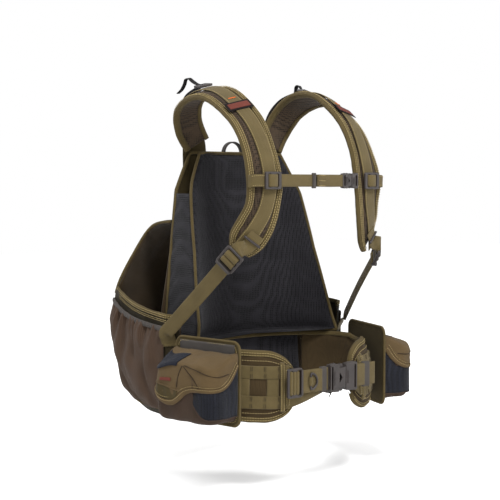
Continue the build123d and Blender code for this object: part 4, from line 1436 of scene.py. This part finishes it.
def pouch_lid():
    rows = lid_surface()
    lid = loft("lid_shell_right", rows, closed=False)
    wrinkle(lid, 20, 1.3, seed=12.0)
    wrinkle(lid, 9, 0.45, seed=2.0)
    thicken(lid, 1.8, 0.0)
    hem = [p for p in rows[-1]]
    normals = []
    centre = pouch_point(0, 20, 0)
    for p in hem:
        away = (p - centre)
        away.z = 0
        normals.append(away.normalized())
    run = []
    for k, p in enumerate(hem):
        a, b = hem[max(k - 1, 0)], hem[min(k + 1, len(hem) - 1)]
        along = (b - a).normalized()
        out = (normals[k] - along * normals[k].dot(along)).normalized()
        run.append((p, along, out, along.cross(out).normalized(), 9.0))

    def wrap(_, width):
        return [(-4.5, 1.5), (-4.0, 2.1), (0, 2.2), (3.4, 1.7), (4.6, 0.2), (3.4, -1.3), (0, -1.6),
            (-4.2, -1.5), (-4.0, -0.9), (2.6, -0.2), (-4.2, 0.9)]

    side = 1 if run[60][3].z < 0 else -1
    binding = swept("lid_binding_right", [(p, al, o, ac * side, w) for p, al, o, ac, w in run], wrap)
    thread = [[(p + ac * (side * -2.6) + o * 2.3, o) for p, al, o, ac, w in run],
              [(p + ac * (side * -8.5) + o * 1.7, o) for p, al, o, ac, w in run]]
    sewn = stitches("lid_stitches_right", thread, 3.6, 2.6, 0.38)
    # piping that fans out over the front lobe, and the seam over the rear lobe's pocket
    def on_lid(s, z, lift=1.4):
        k = s * 120
        i = min(int(k), 119)
        f = k - i
        col_a = [row[i] for row in rows]
        col_b = [row[i + 1] for row in rows]
        for j in range(len(col_a) - 1):
            if col_a[j].z >= z > col_a[j + 1].z and j > 8:
                t = (col_a[j].z - z) / (col_a[j].z - col_a[j + 1].z)
                p = col_a[j].lerp(col_a[j + 1], t).lerp(col_b[j].lerp(col_b[j + 1], t), f)
                away = p - centre
                away.z = 0
                return p + away.normalized() * lift, away.normalized()
        p = col_a[-1]
        away = p - centre
        away.z = 0
        return p + away.normalized() * lift, away.normalized()

    fans = []
    for pts in (
        [(0.52, 44), (0.50, 34), (0.485, 22), (0.475, 8), (0.47, -2)],
        [(0.53, 44), (0.57, 34), (0.615, 22), (0.65, 10), (0.67, 0)],
        [(0.54, 45), (0.62, 41), (0.70, 38), (0.80, 33), (0.90, 27)],
    ):
        smooth = [spline(pts, t / 8) for t in range((len(pts) - 1) * 8 + 1)]
        fans.append(tube("f", [on_lid(s, z, 1.0)[0] for s, z in smooth], 1.1, sides=8))
    piping = join("lid_piping_right", fans)
    pocket_line = [(0.11, 14), (0.2, 10), (0.3, 4), (0.39, -3), (0.46, -8), (0.52, -8)]
    smooth = [spline(pocket_line, t / 8) for t in range((len(pocket_line) - 1) * 8 + 1)]
    seam = tube("lid_pocket_seam_right", [on_lid(s, z, 1.3)[0] for s, z in smooth], 1.3, sides=8)
    patch_rows = []
    for v in spread(0, 1, 10):
        row = []
        for s in spread(0.13, 0.475, 40):
            i = (s - 0.12) / 0.38
            high = between([(0.11, 14), (0.2, 10), (0.3, 4), (0.39, -3), (0.48, -8.5)], s)[0]
            low = hem_at(s) + 4.5
            row.append(on_lid(s, high + (min(low, high - 0.5) - high) * v,
                1.15 + 0.9 * math.sin(s * 70) * math.sin(math.pi * v))[0])
        patch_rows.append(row)
    pocket = loft("lid_pocket_right", patch_rows, closed=False)
    thicken(pocket, 0.7, 0.0)
    # dark stretch panel let into the top
    top_rows = []
    for j in range(5, 17):
        row = []
        for k in range(18, 58):
            p = rows[j][k]
            away = (p - pouch_point(0, 10, 20)).normalized()
            row.append(p + away * 2.7)
        top_rows.append(row)
    stretch = loft("lid_stretch_right", top_rows, closed=False)
    thicken(stretch, 0.6, 0.0)
    label = []
    for v in spread(0, 1, 3):
        label.append([on_lid(s, 32 - s * 34 - 8 * v, 2.2)[0] for s in spread(0.31, 0.42, 10)])
    tab = loft("lid_tag_right", label, closed=False)
    thicken(tab, 0.5, 0.0)
    extras = [(binding, "lid"), (sewn, "thread"), (piping, "brown"), (seam, "lid"), (pocket, "olive"),
              (stretch, "neoprene"), (tab, "patch")]
    for obj in [lid] + [obj for obj, _ in extras]:
        if obj.modifiers:
            apply_all(obj)
        slump(obj)
    for side_name, shell in (("right", lid), ("left", mirror(lid, "lid_shell_left"))):
        body = f"lid_{side_name}"
        dress(shell, "lid", None, [f"pouch_lid_{side_name}"])
        turn = [pouch_point(0, y, 46) * MM for y in (4.0, 18.0)]
        if side_name == "left":
            turn = [Vector((-p.x, p.y, p.z)) for p in turn]
        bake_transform(shell)
        for obj, mat in extras:
            item = obj if side_name == "right" else mirror(obj, obj.name.replace("_right", "_left"))
            dress(item, mat, None if obj in (binding, sewn) else body, [])
            if obj in (binding, sewn):
                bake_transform(item)


pouch_body()
pouch_wall()
pouch_lid()


# ---- back panel --------------------------------------------------------------------------
PANEL_TOP, PANEL_BOTTOM, PANEL_Y, PANEL_T = 372.0, 49.0, 148.0, 5.0


def panel_half(z):
    return between([(PANEL_BOTTOM, 146), (180, 134), (306, 121), (PANEL_TOP, 92)], z)[0]


def pad_spread(z):
    return between([(PANEL_BOTTOM, 74), (120, 66), (300, 46), (PANEL_TOP, 32)], z)[0]


def back_panel():
    rings = []
    levels = spread(PANEL_BOTTOM, PANEL_TOP, 60)
    for i, z in enumerate(levels):
        end = min(1.0, i / 3, (60 - i) / 3)
        wide = pad_spread(z)
        ring_in, ring_out = [], []
        for s in spread(-1, 1, 48):
            a = 180 + s * wide
            channel = 0.82 + 0.18 * abs(math.cos(s * math.pi * 2.5)) ** 0.5
            cross = 0.86 + 0.14 * abs(math.sin(math.pi * (z - PANEL_BOTTOM) / 64.6)) ** 0.5
            edge = min(1.0, (1 - abs(s)) / 0.07) ** 0.5
            fat = 1.5 + 8.5 * channel * cross * (0.35 + 0.65 * edge) * (0.4 + 0.6 * end)
            ring_out.append(torso_point(a, z, 12.0))
            ring_in.append(torso_point(a, z, 12.0 - fat))
        rings.append(ring_in + list(reversed(ring_out)))
    pad = loft("back_cushion", rings)
    wrinkle(pad, 22, 0.8, seed=6.0)
    subdivide(pad)
    dress(pad, "back_mesh", "vest", ["back_pad"])
    edges = []
    for side in (-1, 1):
        path = [torso_point(180 + side * pad_spread(z), z, 8.0) for z in levels]
        edges.append(tube("e", path, 2.6, sides=10))
    for z in (PANEL_BOTTOM + 1, PANEL_TOP - 1):
        path = [torso_point(180 + s * pad_spread(z), z, 8.0) for s in spread(-1, 1, 48)]
        edges.append(tube("e", path, 2.6, sides=10))
    dress(join("back_cushion_binding", edges), "binding", "vest", [])
    # olive panel that carries the bag, with a bound edge
    outline = [(panel_half(z), z) for z in spread(PANEL_BOTTOM, PANEL_TOP, 30)]
    corners = outline + [(-x, z) for x, z in reversed(outline)]
    rows = []
    for z in spread(PANEL_BOTTOM, PANEL_TOP, 60):
        half = panel_half(z)
        row = []
        for s in spread(-1, 1, 40):
            row.append(Vector((s * half, PANEL_Y + PANEL_T, z)))
        rows.append(row)
    panel = loft("frame_panel_cloth", rows, closed=False)
    wrinkle(panel, 40, 1.6, seed=1.0)
    thicken(panel, 4.5, 0.0 - 1.0)
    dress(panel, "olive", "vest", ["frame_panel", "frame_sheet"])
    path = [Vector((x, PANEL_Y + PANEL_T / 2, z)) for x, z in corners]
    rim = tube("frame_panel_binding", path, 3.4, closed=True, sides=10)
    dress(rim, "binding", "vest", [])
    # wings of mesh between the cushion's edge and the panel
    for side, tag in ((1, "right"), (-1, "left")):
        rows = []
        for z in spread(PANEL_BOTTOM + 2, 300, 40):
            near = torso_point(180 - pad_spread(z), z, 10.0)
            far = Vector((-panel_half(z), PANEL_Y + 2, z))
            row = []
            for s in spread(0, 1, 12):
                p = near.lerp(far, s) + Vector((-1, 0.3, 0)) * (2.0 * math.sin(math.pi * s))
                row.append(Vector((p.x * side, p.y, p.z)))
            rows.append(row)
        wing = loft(f"back_wing_{tag}", rows, closed=False)
        wrinkle(wing, 24, 1.5, seed=3.0)
        thicken(wing, 1.6, 0.0)
        dress(wing, "back_mesh", "vest", [])
    # haul loop
    loop = []
    for a in spread(-4, 184, 36):
        r = math.radians(a)
        loop.append(((20 * math.cos(r), PANEL_Y + 2.5, PANEL_TOP + 0.6 + 20 * math.sin(r)),
                     (math.cos(r), 0, math.sin(r)), 11.0))
    run = [(Vector(p), None, Vector(n), Vector((0, 1, 0)), w) for p, n, w in loop]
    loop_web = swept("haul_loop_web", run, tape(2.4, -1.2))
    dress(loop_web, "webbing_dark", "vest", ["haul_loop"])
    rows = [[(Vector((sx, PANEL_Y + PANEL_T + 0.8, z)), Vector((0, 1, 0))) for z in spread(60, 362, 60)]
            for sx in (-70, 70)]
    dress(stitches("frame_panel_stitches", rows), "thread", "vest", [])


# ---- game bag ----------------------------------------------------------------------------
BAG_INNER_Y, BAG_TOP, BAG_BOTTOM, SHELL_T, BOW = 154.0, 249.0, -88.0, 3.0, 12.0
BAG_FRONT_X, BAG_FRONT_Y = 190.0, 75.0
RIM_BACK_Z, RIM_FRONT_Z = 128.0, 97.0
BAG_PROFILE = [
    (158, 249, 128), (214, 239, 132), (250, 196, 146), (275, 132, 168), (284, 70, 174),
    (274, 8, 172), (246, -44, 168), (204, -78, 160), (158, -88, 152),
]


def edge_at(z):
    lower = [(pz, py, half) for py, pz, half in reversed(BAG_PROFILE[3:])]
    return between(lower, z)


def bag_wall():
    rows_fine = []
    count = (len(BAG_PROFILE) - 1) * 8
    for k in range(count + 1):
        rows_fine.append(spline(BAG_PROFILE, k / 8))
    for name, offset, mat, nodes in (
        ("bag_wall_outer", SHELL_T, "bag", ["game_bag_wall"]), ("bag_wall_inner", 1.0, "lining", []),
    ):
        rows = []
        for k, (y, z, half) in enumerate(rows_fine):
            a, b = rows_fine[max(k - 1, 0)], rows_fine[min(k + 1, count)]
            along = Vector((0, b[0] - a[0], b[1] - a[1])).normalized()
            out = Vector((1, 0, 0)).cross(along)
            ends = math.sin(math.pi * k / count) ** 0.5
            row = []
            for s in spread(-1, 1, 48):
                bulge = ends * BOW * math.cos(s * math.pi / 2)
                droop = 3.0 * ends * math.sin(s * 7.0 + z * 0.03) * (1 if z > 120 else 0.5)
                row.append(Vector((s * half, y, z)) + out * (bulge + offset - 1.2 + droop * 0.5))
            rows.append(row)
        wall = loft(name, rows, closed=False)
        wrinkle(wall, 62, 5.0, (1, 1, 0.6), 5.0)
        wrinkle(wall, 26, 2.0, (1, 1, 0.7), 8.0)
        thicken(wall, 1.2, 0.0)
        dress(wall, mat, "vest", nodes)
        if nodes:
            return_rows = rows
    # binding along the open upper edges of both sides, from the panel to the rim
    for tag, col in (("right", 0), ("left", -1)):
        path = [row[col] for row in return_rows[:27]]
        edge = tube(f"bag_edge_binding_{tag}", path, 2.6, sides=10)
        dress(edge, "binding", "vest", [])


def side_grid(offset, z_low, drop, swell=0.0, rows_n=34, cols_n=60, gather=0.0):
    """Right side wall from low to its rim, columns from the back corner to the front one."""
    rows = []
    for v in spread(0.0, 1.0, rows_n):
        row = []
        for s in spread(0.0, 1.0, cols_n):
            rim = RIM_BACK_Z + (RIM_FRONT_Z - RIM_BACK_Z) * s - 5 * math.sin(math.pi * s)
            z = z_low + (rim - drop - z_low) * v
            back_y, half = edge_at(z)
            tuck = max(0.0, (-30 - z) / 50.0) ** 2 * 20
            belly = 8 * math.sin(math.pi * s)
            x = half + (BAG_FRONT_X - tuck - half) * s + belly
            y = back_y - 1.6 + (BAG_FRONT_Y - back_y + 1.6) * s
            puff = swell * math.sin(math.pi * s) ** 0.6 * math.sin(math.pi * (0.12 + 0.76 * v))
            pleat = 0.0
            if gather:
                wander = noise.noise(Vector((s * 6, v * 1.6, 0.3)))
                phase = s * 44 + 1.6 * wander + (1 - v) * 2.4
                near_top = math.exp(-((1 - v) / 0.16) ** 2)
                deep = math.exp(-((1 - v) / 0.45) ** 2) * (0.6 + 0.8 * wander)
                sag = 1.4 * math.sin(s * 11 + v * 7 + 2.0 * wander) * math.sin(math.pi * v) ** 0.5
                gathers = near_top * math.sin(phase * 2.0) * 0.5 + deep * math.sin(phase * 0.85 + 0.5)
                pleat = gather * (gathers + 0.5 * sag)
                pleat *= min(1.0, (1 - v) * 9 + 0.35) * min(1.0, s * 8, (1 - s) * 8)
            row.append(Vector((-(x + offset + puff + pleat), y, z)))
        rows.append(row)
    return rows


def bag_sides():
    rows = side_grid(2.3, -78, 0)
    for row in rows:
        corner = row[-1]
        for k in range(1, 5):
            f = k / 4
            row.append(Vector((corner.x + 18 * f, corner.y - 14 * f, corner.z - 2 * f)))
    wall = loft("bag_side_cloth_right", rows, closed=False)
    wrinkle(wall, 40, 3.0, seed=7.0)
    wrinkle(wall, 16, 1.0, seed=3.0)
    thicken(wall, 1.8, 0.0)
    pair(wall, "bag", ["game_bag_side"])
    top = rows[-1]
    rim = []
    for k, p in enumerate(top):
        a, b = top[max(k - 1, 0)], top[min(k + 1, len(top) - 1)]
        along = (b - a).normalized()
        out = Vector((-1, 0.25, 0))
        out = (out - along * out.dot(along)).normalized()
        rim.append((p, along, out, along.cross(out).normalized(), 10.0))

    def folded(_, width):
        return [(-6, 1.6), (-5.4, 2.2), (0, 2.3), (1.2, 1.4), (1.6, 0), (1.2, -1.4), (0, -2.3),
            (-5.4, -2.2), (-6, -1.6), (-5.6, -0.8), (-1, 0), (-5.6, 0.8)]

    side = 1 if rim[10][3].z > 0 else -1
    binding = swept("bag_rim_binding_right", [(p, al, o, ac * side, w) for p, al, o, ac, w in rim], folded)
    wrinkle(binding, 14, 0.8, seed=2.0)
    pair(binding, "binding", [])
    rows_ = [[(p + ac * (side * d) + o * 2.4, o) for p, al, o, ac, w in rim]
        for d in (-1.0, -4.6, -9.0, -12.0)]
    pair(stitches("bag_rim_stitches_right", rows_), "thread", [])
    # gathered stretch pocket under an elastic band
    span = (-66, 20, 15, 44, 150)
    pocket_rows = side_grid(6.2, *span, gather=6.0)
    pocket = loft("side_pocket_cloth_right", pocket_rows, closed=False)
    wrinkle(pocket, 46, 4.0, (1, 1, 0.35), 4.0)
    wrinkle(pocket, 17, 1.2, (1, 1, 0.5), 9.0)
    thicken(pocket, 1.2, 0.0)
    pair(pocket, "stretch", ["side_pocket"])
    band_rows = []
    smooth_top = side_grid(6.4, *span)[-1]
    for h, lift in ((-7.6, 0.6), (-7.0, 2.2), (-3.5, 2.9), (0.4, 2.2), (1.2, 0.2), (0.4, -1.6),
        (-6.6, -1.2)):
        row = []
        for k, p in enumerate(smooth_top):
            ripple = 0.5 * math.sin(k * 0.83) + 0.35 * math.sin(k * 1.37)
            row.append(Vector((p.x - lift - ripple * 0.5, p.y + lift * 0.1, p.z + h + ripple * 0.25)))
        band_rows.append(row)
    rings = [[row[k] for row in band_rows] for k in range(len(smooth_top))]
    elastic = loft("side_pocket_band_right", rings)
    pair(elastic, "elastic", [])
    bottom = pocket_rows[0]
    hem = tube("side_pocket_hem_right", [p + Vector((0, 0, 0.5)) for p in bottom[::3]], 1.8, sides=8)
    pair(hem, "binding", [])
    # inner wall and lining
    rows = []
    back, front = Vector((-151, BAG_INNER_Y - 1.5, 0)), Vector((-168.0, 68, 0))
    for z in spread(-74, 76, 24):
        tuck = between([(-74, 8.0), (0, 0.0), (76, 2.0)], z)[0]
        rows.append([back + (front - back) * s + Vector((tuck * s, 0, z)) for s in spread(0, 1, 14)])
    gusset = loft("bag_gusset_cloth_right", rows, closed=False)
    wrinkle(gusset, 30, 1.0, seed=7.0)
    thicken(gusset, 1.6, 0.0)
    pair(gusset, "lining", ["game_bag_gusset"])
    rows = []
    for z in spread(BAG_BOTTOM + 2, BAG_TOP - 2, 50):
        half = between([(BAG_BOTTOM + 2, 146), (0, 158), (100, 150), (200, 132), (BAG_TOP - 2, 126)], z)[0]
        rows.append([Vector((s * half, BAG_INNER_Y + 1.2, z)) for s in spread(-1, 1, 40)])
    lining = loft("bag_back_lining", rows, closed=False)
    wrinkle(lining, 44, 1.6, seed=2.0)
    thicken(lining, 1.6, 0.0)
    dress(lining, "lining", "vest", ["game_bag_lining"])


# ---- rear pocket and its zip -------------------------------------------------------------
POCKET_HALF, POCKET_LOW, POCKET_HIGH, POCKET_FACE_Y = 148.0, 2.0, 78.0, 324.0
ZIP_Z, ZIP_HALF, ZIP_PIN = 62.0, 108.0, 7.2


def rear_pocket():
    rings = []
    for s in spread(-1, 1, 60):
        x = s * POCKET_HALF
        bulge = BOW * math.cos(x / 168 * math.pi / 2)
        end = min(1.0, (1 - abs(s)) / 0.10)
        end = math.sqrt(1 - (1 - end) ** 2)
        mid, tall = (POCKET_LOW + POCKET_HIGH) / 2, (POCKET_HIGH - POCKET_LOW) / 2 * (0.72 + 0.28 * end)
        inner = 284 + SHELL_T + 2.0 + bulge
        outer = inner + (POCKET_FACE_Y - inner) * (0.55 + 0.45 * end)
        ring = [
            (inner, -1.0), (inner + (outer - inner) * 0.5, -1.0), (outer - 3, -0.96),
            (outer - 0.6, -0.88), (outer, -0.74),
            (outer + 0.3, -0.4), (outer + 0.3, 0.0), (outer, 0.4), (outer, 0.74), (outer - 0.6, 0.88),
            (outer - 3, 0.96), (inner + (outer - inner) * 0.5, 1.0), (inner, 1.0), (inner, 0.0),
        ]
        rings.append([Vector((x, y, mid + tall * t)) for y, t in ring])
    pocket = loft("rear_pocket_cloth", rings)
    wrinkle(pocket, 34, 1.4, seed=3.0)
    wrinkle(pocket, 14, 0.5, seed=6.0)
    subdivide(pocket)
    dress(pocket, "bag", "vest", ["rear_pocket"])
    tapes = []
    for z0, z1 in ((ZIP_Z - 8, ZIP_Z - 1.4), (ZIP_Z + 1.4, ZIP_Z + 8)):
        rows = [[Vector((x, POCKET_FACE_Y + 1.7, z)) for x in spread(-ZIP_HALF - 8, ZIP_HALF + 8, 40)]
            for z in spread(z0, z1, 3)]
        tape_obj = loft("t", rows, closed=False)
        thicken(tape_obj, 1.0, 0.0)
        tapes.append(tape_obj)
    teeth = []
    for k, x in enumerate(spread(-ZIP_HALF - 5, ZIP_HALF + 5, 104)):
        side = 0.8 if k % 2 else -0.8
        teeth.append([Vector((x, POCKET_FACE_Y + 2.6, ZIP_Z + side * 2.2)),
            Vector((x, POCKET_FACE_Y + 2.9, ZIP_Z - side * 0.8))])
    verts, faces = [], []
    for a, b in teeth:
        base = len(verts)
        for p in (a, b):
            for dx, dy in ((-0.6, -0.5), (0.6, -0.5), (0.6, 0.5), (-0.6, 0.5)):
                verts.append(p + Vector((dx, dy, 0)))
        for q in range(4):
            n = (q + 1) % 4
            faces.append((base + q, base + n, base + 4 + n, base + 4 + q))
        faces += [(base + 3, base + 2, base + 1, base), (base + 4, base + 5, base + 6, base + 7)]
    chain = make("zip_teeth", verts, faces)
    dress(chain, "zip_metal", "vest", [])
    dress(join("zip_tapes", tapes), "zip", "vest", ["zip_tape"])
    flat = Matrix.Rotation(math.radians(-90), 4, "X")
    at = Matrix.Translation(Vector((-ZIP_HALF, POCKET_FACE_Y + 4.2, ZIP_Z)) * MM) @ flat
    body = [
        plate("z", [[(-5.5, 3.2), (-3, 4.5), (3, 4.5), (5.5, 2.0), (5.5, -2.0), (3, -4.5), (-3, -4.5),
            (-5.5, -3.2)]], 2.2, 0.7, at),
        tube("b", [Vector((-ZIP_HALF, POCKET_FACE_Y + 4.2 + y, ZIP_Z + z)) for y, z in
                   ((0.8, -3.6), (3.4, -3.6), (4.9, -2.4), (5.1, 0), (4.9, 2.4), (3.4, 3.6),
                       (0.8, 3.6))], 0.9, sides=10),
    ]
    dress(join("zip_slider_body", body), "zip_metal", "zip_slider", ["zip_slider"])
    at = Matrix.Translation(Vector((-ZIP_HALF, POCKET_FACE_Y + ZIP_PIN, ZIP_Z)) * MM) @ flat
    ring = [Vector((-ZIP_HALF + x, POCKET_FACE_Y + ZIP_PIN, ZIP_Z + z)) for x, z in
            ((-3.9, 0), (-3.9, -4), (-3.9, -9), (-2, -10.4), (2, -10.4), (3.9, -9), (3.9, -4), (3.9, 0),
                (2, 0), (-2, 0))]
    pull = [
        tube("p", ring, 0.75, closed=True, sides=10),
        plate("p", [rounded(9.2, 20, 3, 0, 20.0), rounded(4.6, 2.0, 0.9, 0, 12.6)], 1.5, 0.5, at),
    ]
    dress(join("zip_pull_tab", pull), "zip_metal", "zip_pull", ["zip_pull"])


back_panel()
bag_wall()
bag_sides()
rear_pocket()


# ---- studio ------------------------------------------------------------------------------
CAMERA_AT, CAMERA_AIM, LENS = (-1170, -1497, 315), (-45, 35, 203), 79.5
FLOOR_Z = -192.0


def studio():
    scene = bpy.context.scene
    eye, aim = Vector(CAMERA_AT) * MM, Vector(CAMERA_AIM) * MM
    data = bpy.data.cameras.new("camera")
    data.lens, data.sensor_width = LENS, 36.0
    camera = bpy.data.objects.new("camera", data)
    camera.location = eye
    camera.rotation_euler = (aim - eye).to_track_quat("-Z", "Y").to_euler()
    scene.collection.objects.link(camera)
    scene.camera = camera
    size = 6000.0
    floor = make(
        "floor",
        [(-size, -size, FLOOR_Z), (size, -size, FLOOR_Z), (size, size, FLOOR_Z), (-size, size, FLOOR_Z)],
        [(0, 1, 2, 3)], smooth=False,
    )
    n = Nodes("floor_paper")
    n.join(n.mix(n.noise(300.0), (0.88, 0.88, 0.88, 1), (0.92, 0.92, 0.92, 1)),
        n.shader.inputs["Base Color"])
    n.shader.inputs["Roughness"].default_value = 1.0
    n.shader.inputs["Emission Color"].default_value = (1.0, 1.0, 1.0, 1.0)
    n.shader.inputs["Emission Strength"].default_value = 0.16
    floor.data.materials.append(n.mat)
    world = bpy.data.worlds.new("studio")
    world.use_nodes = True
    world.node_tree.nodes["Background"].inputs[0].default_value = (1.0, 1.0, 1.0, 1.0)
    world.node_tree.nodes["Background"].inputs[1].default_value = 1.0
    scene.world = world
    scene.view_settings.view_transform = "Standard"
    scene.view_settings.look = "None"
    lamps = (
        ("key", (-500, -1400, 1900), 500, 66.0),
        ("fill", (1300, -1500, 700), 1000, 14.0),
        ("rim", (-900, 1300, 1500), 900, 24.0),
    )
    for name, at, wide, watts in lamps:
        lamp = bpy.data.lights.new(name, "AREA")
        lamp.size, lamp.energy = wide * MM, watts
        obj = bpy.data.objects.new(name, lamp)
        obj.location = Vector(at) * MM
        obj.rotation_euler = (Vector((0, 0, 0.15)) - obj.location).to_track_quat("-Z", "Y").to_euler()
        scene.collection.objects.link(obj)


studio()
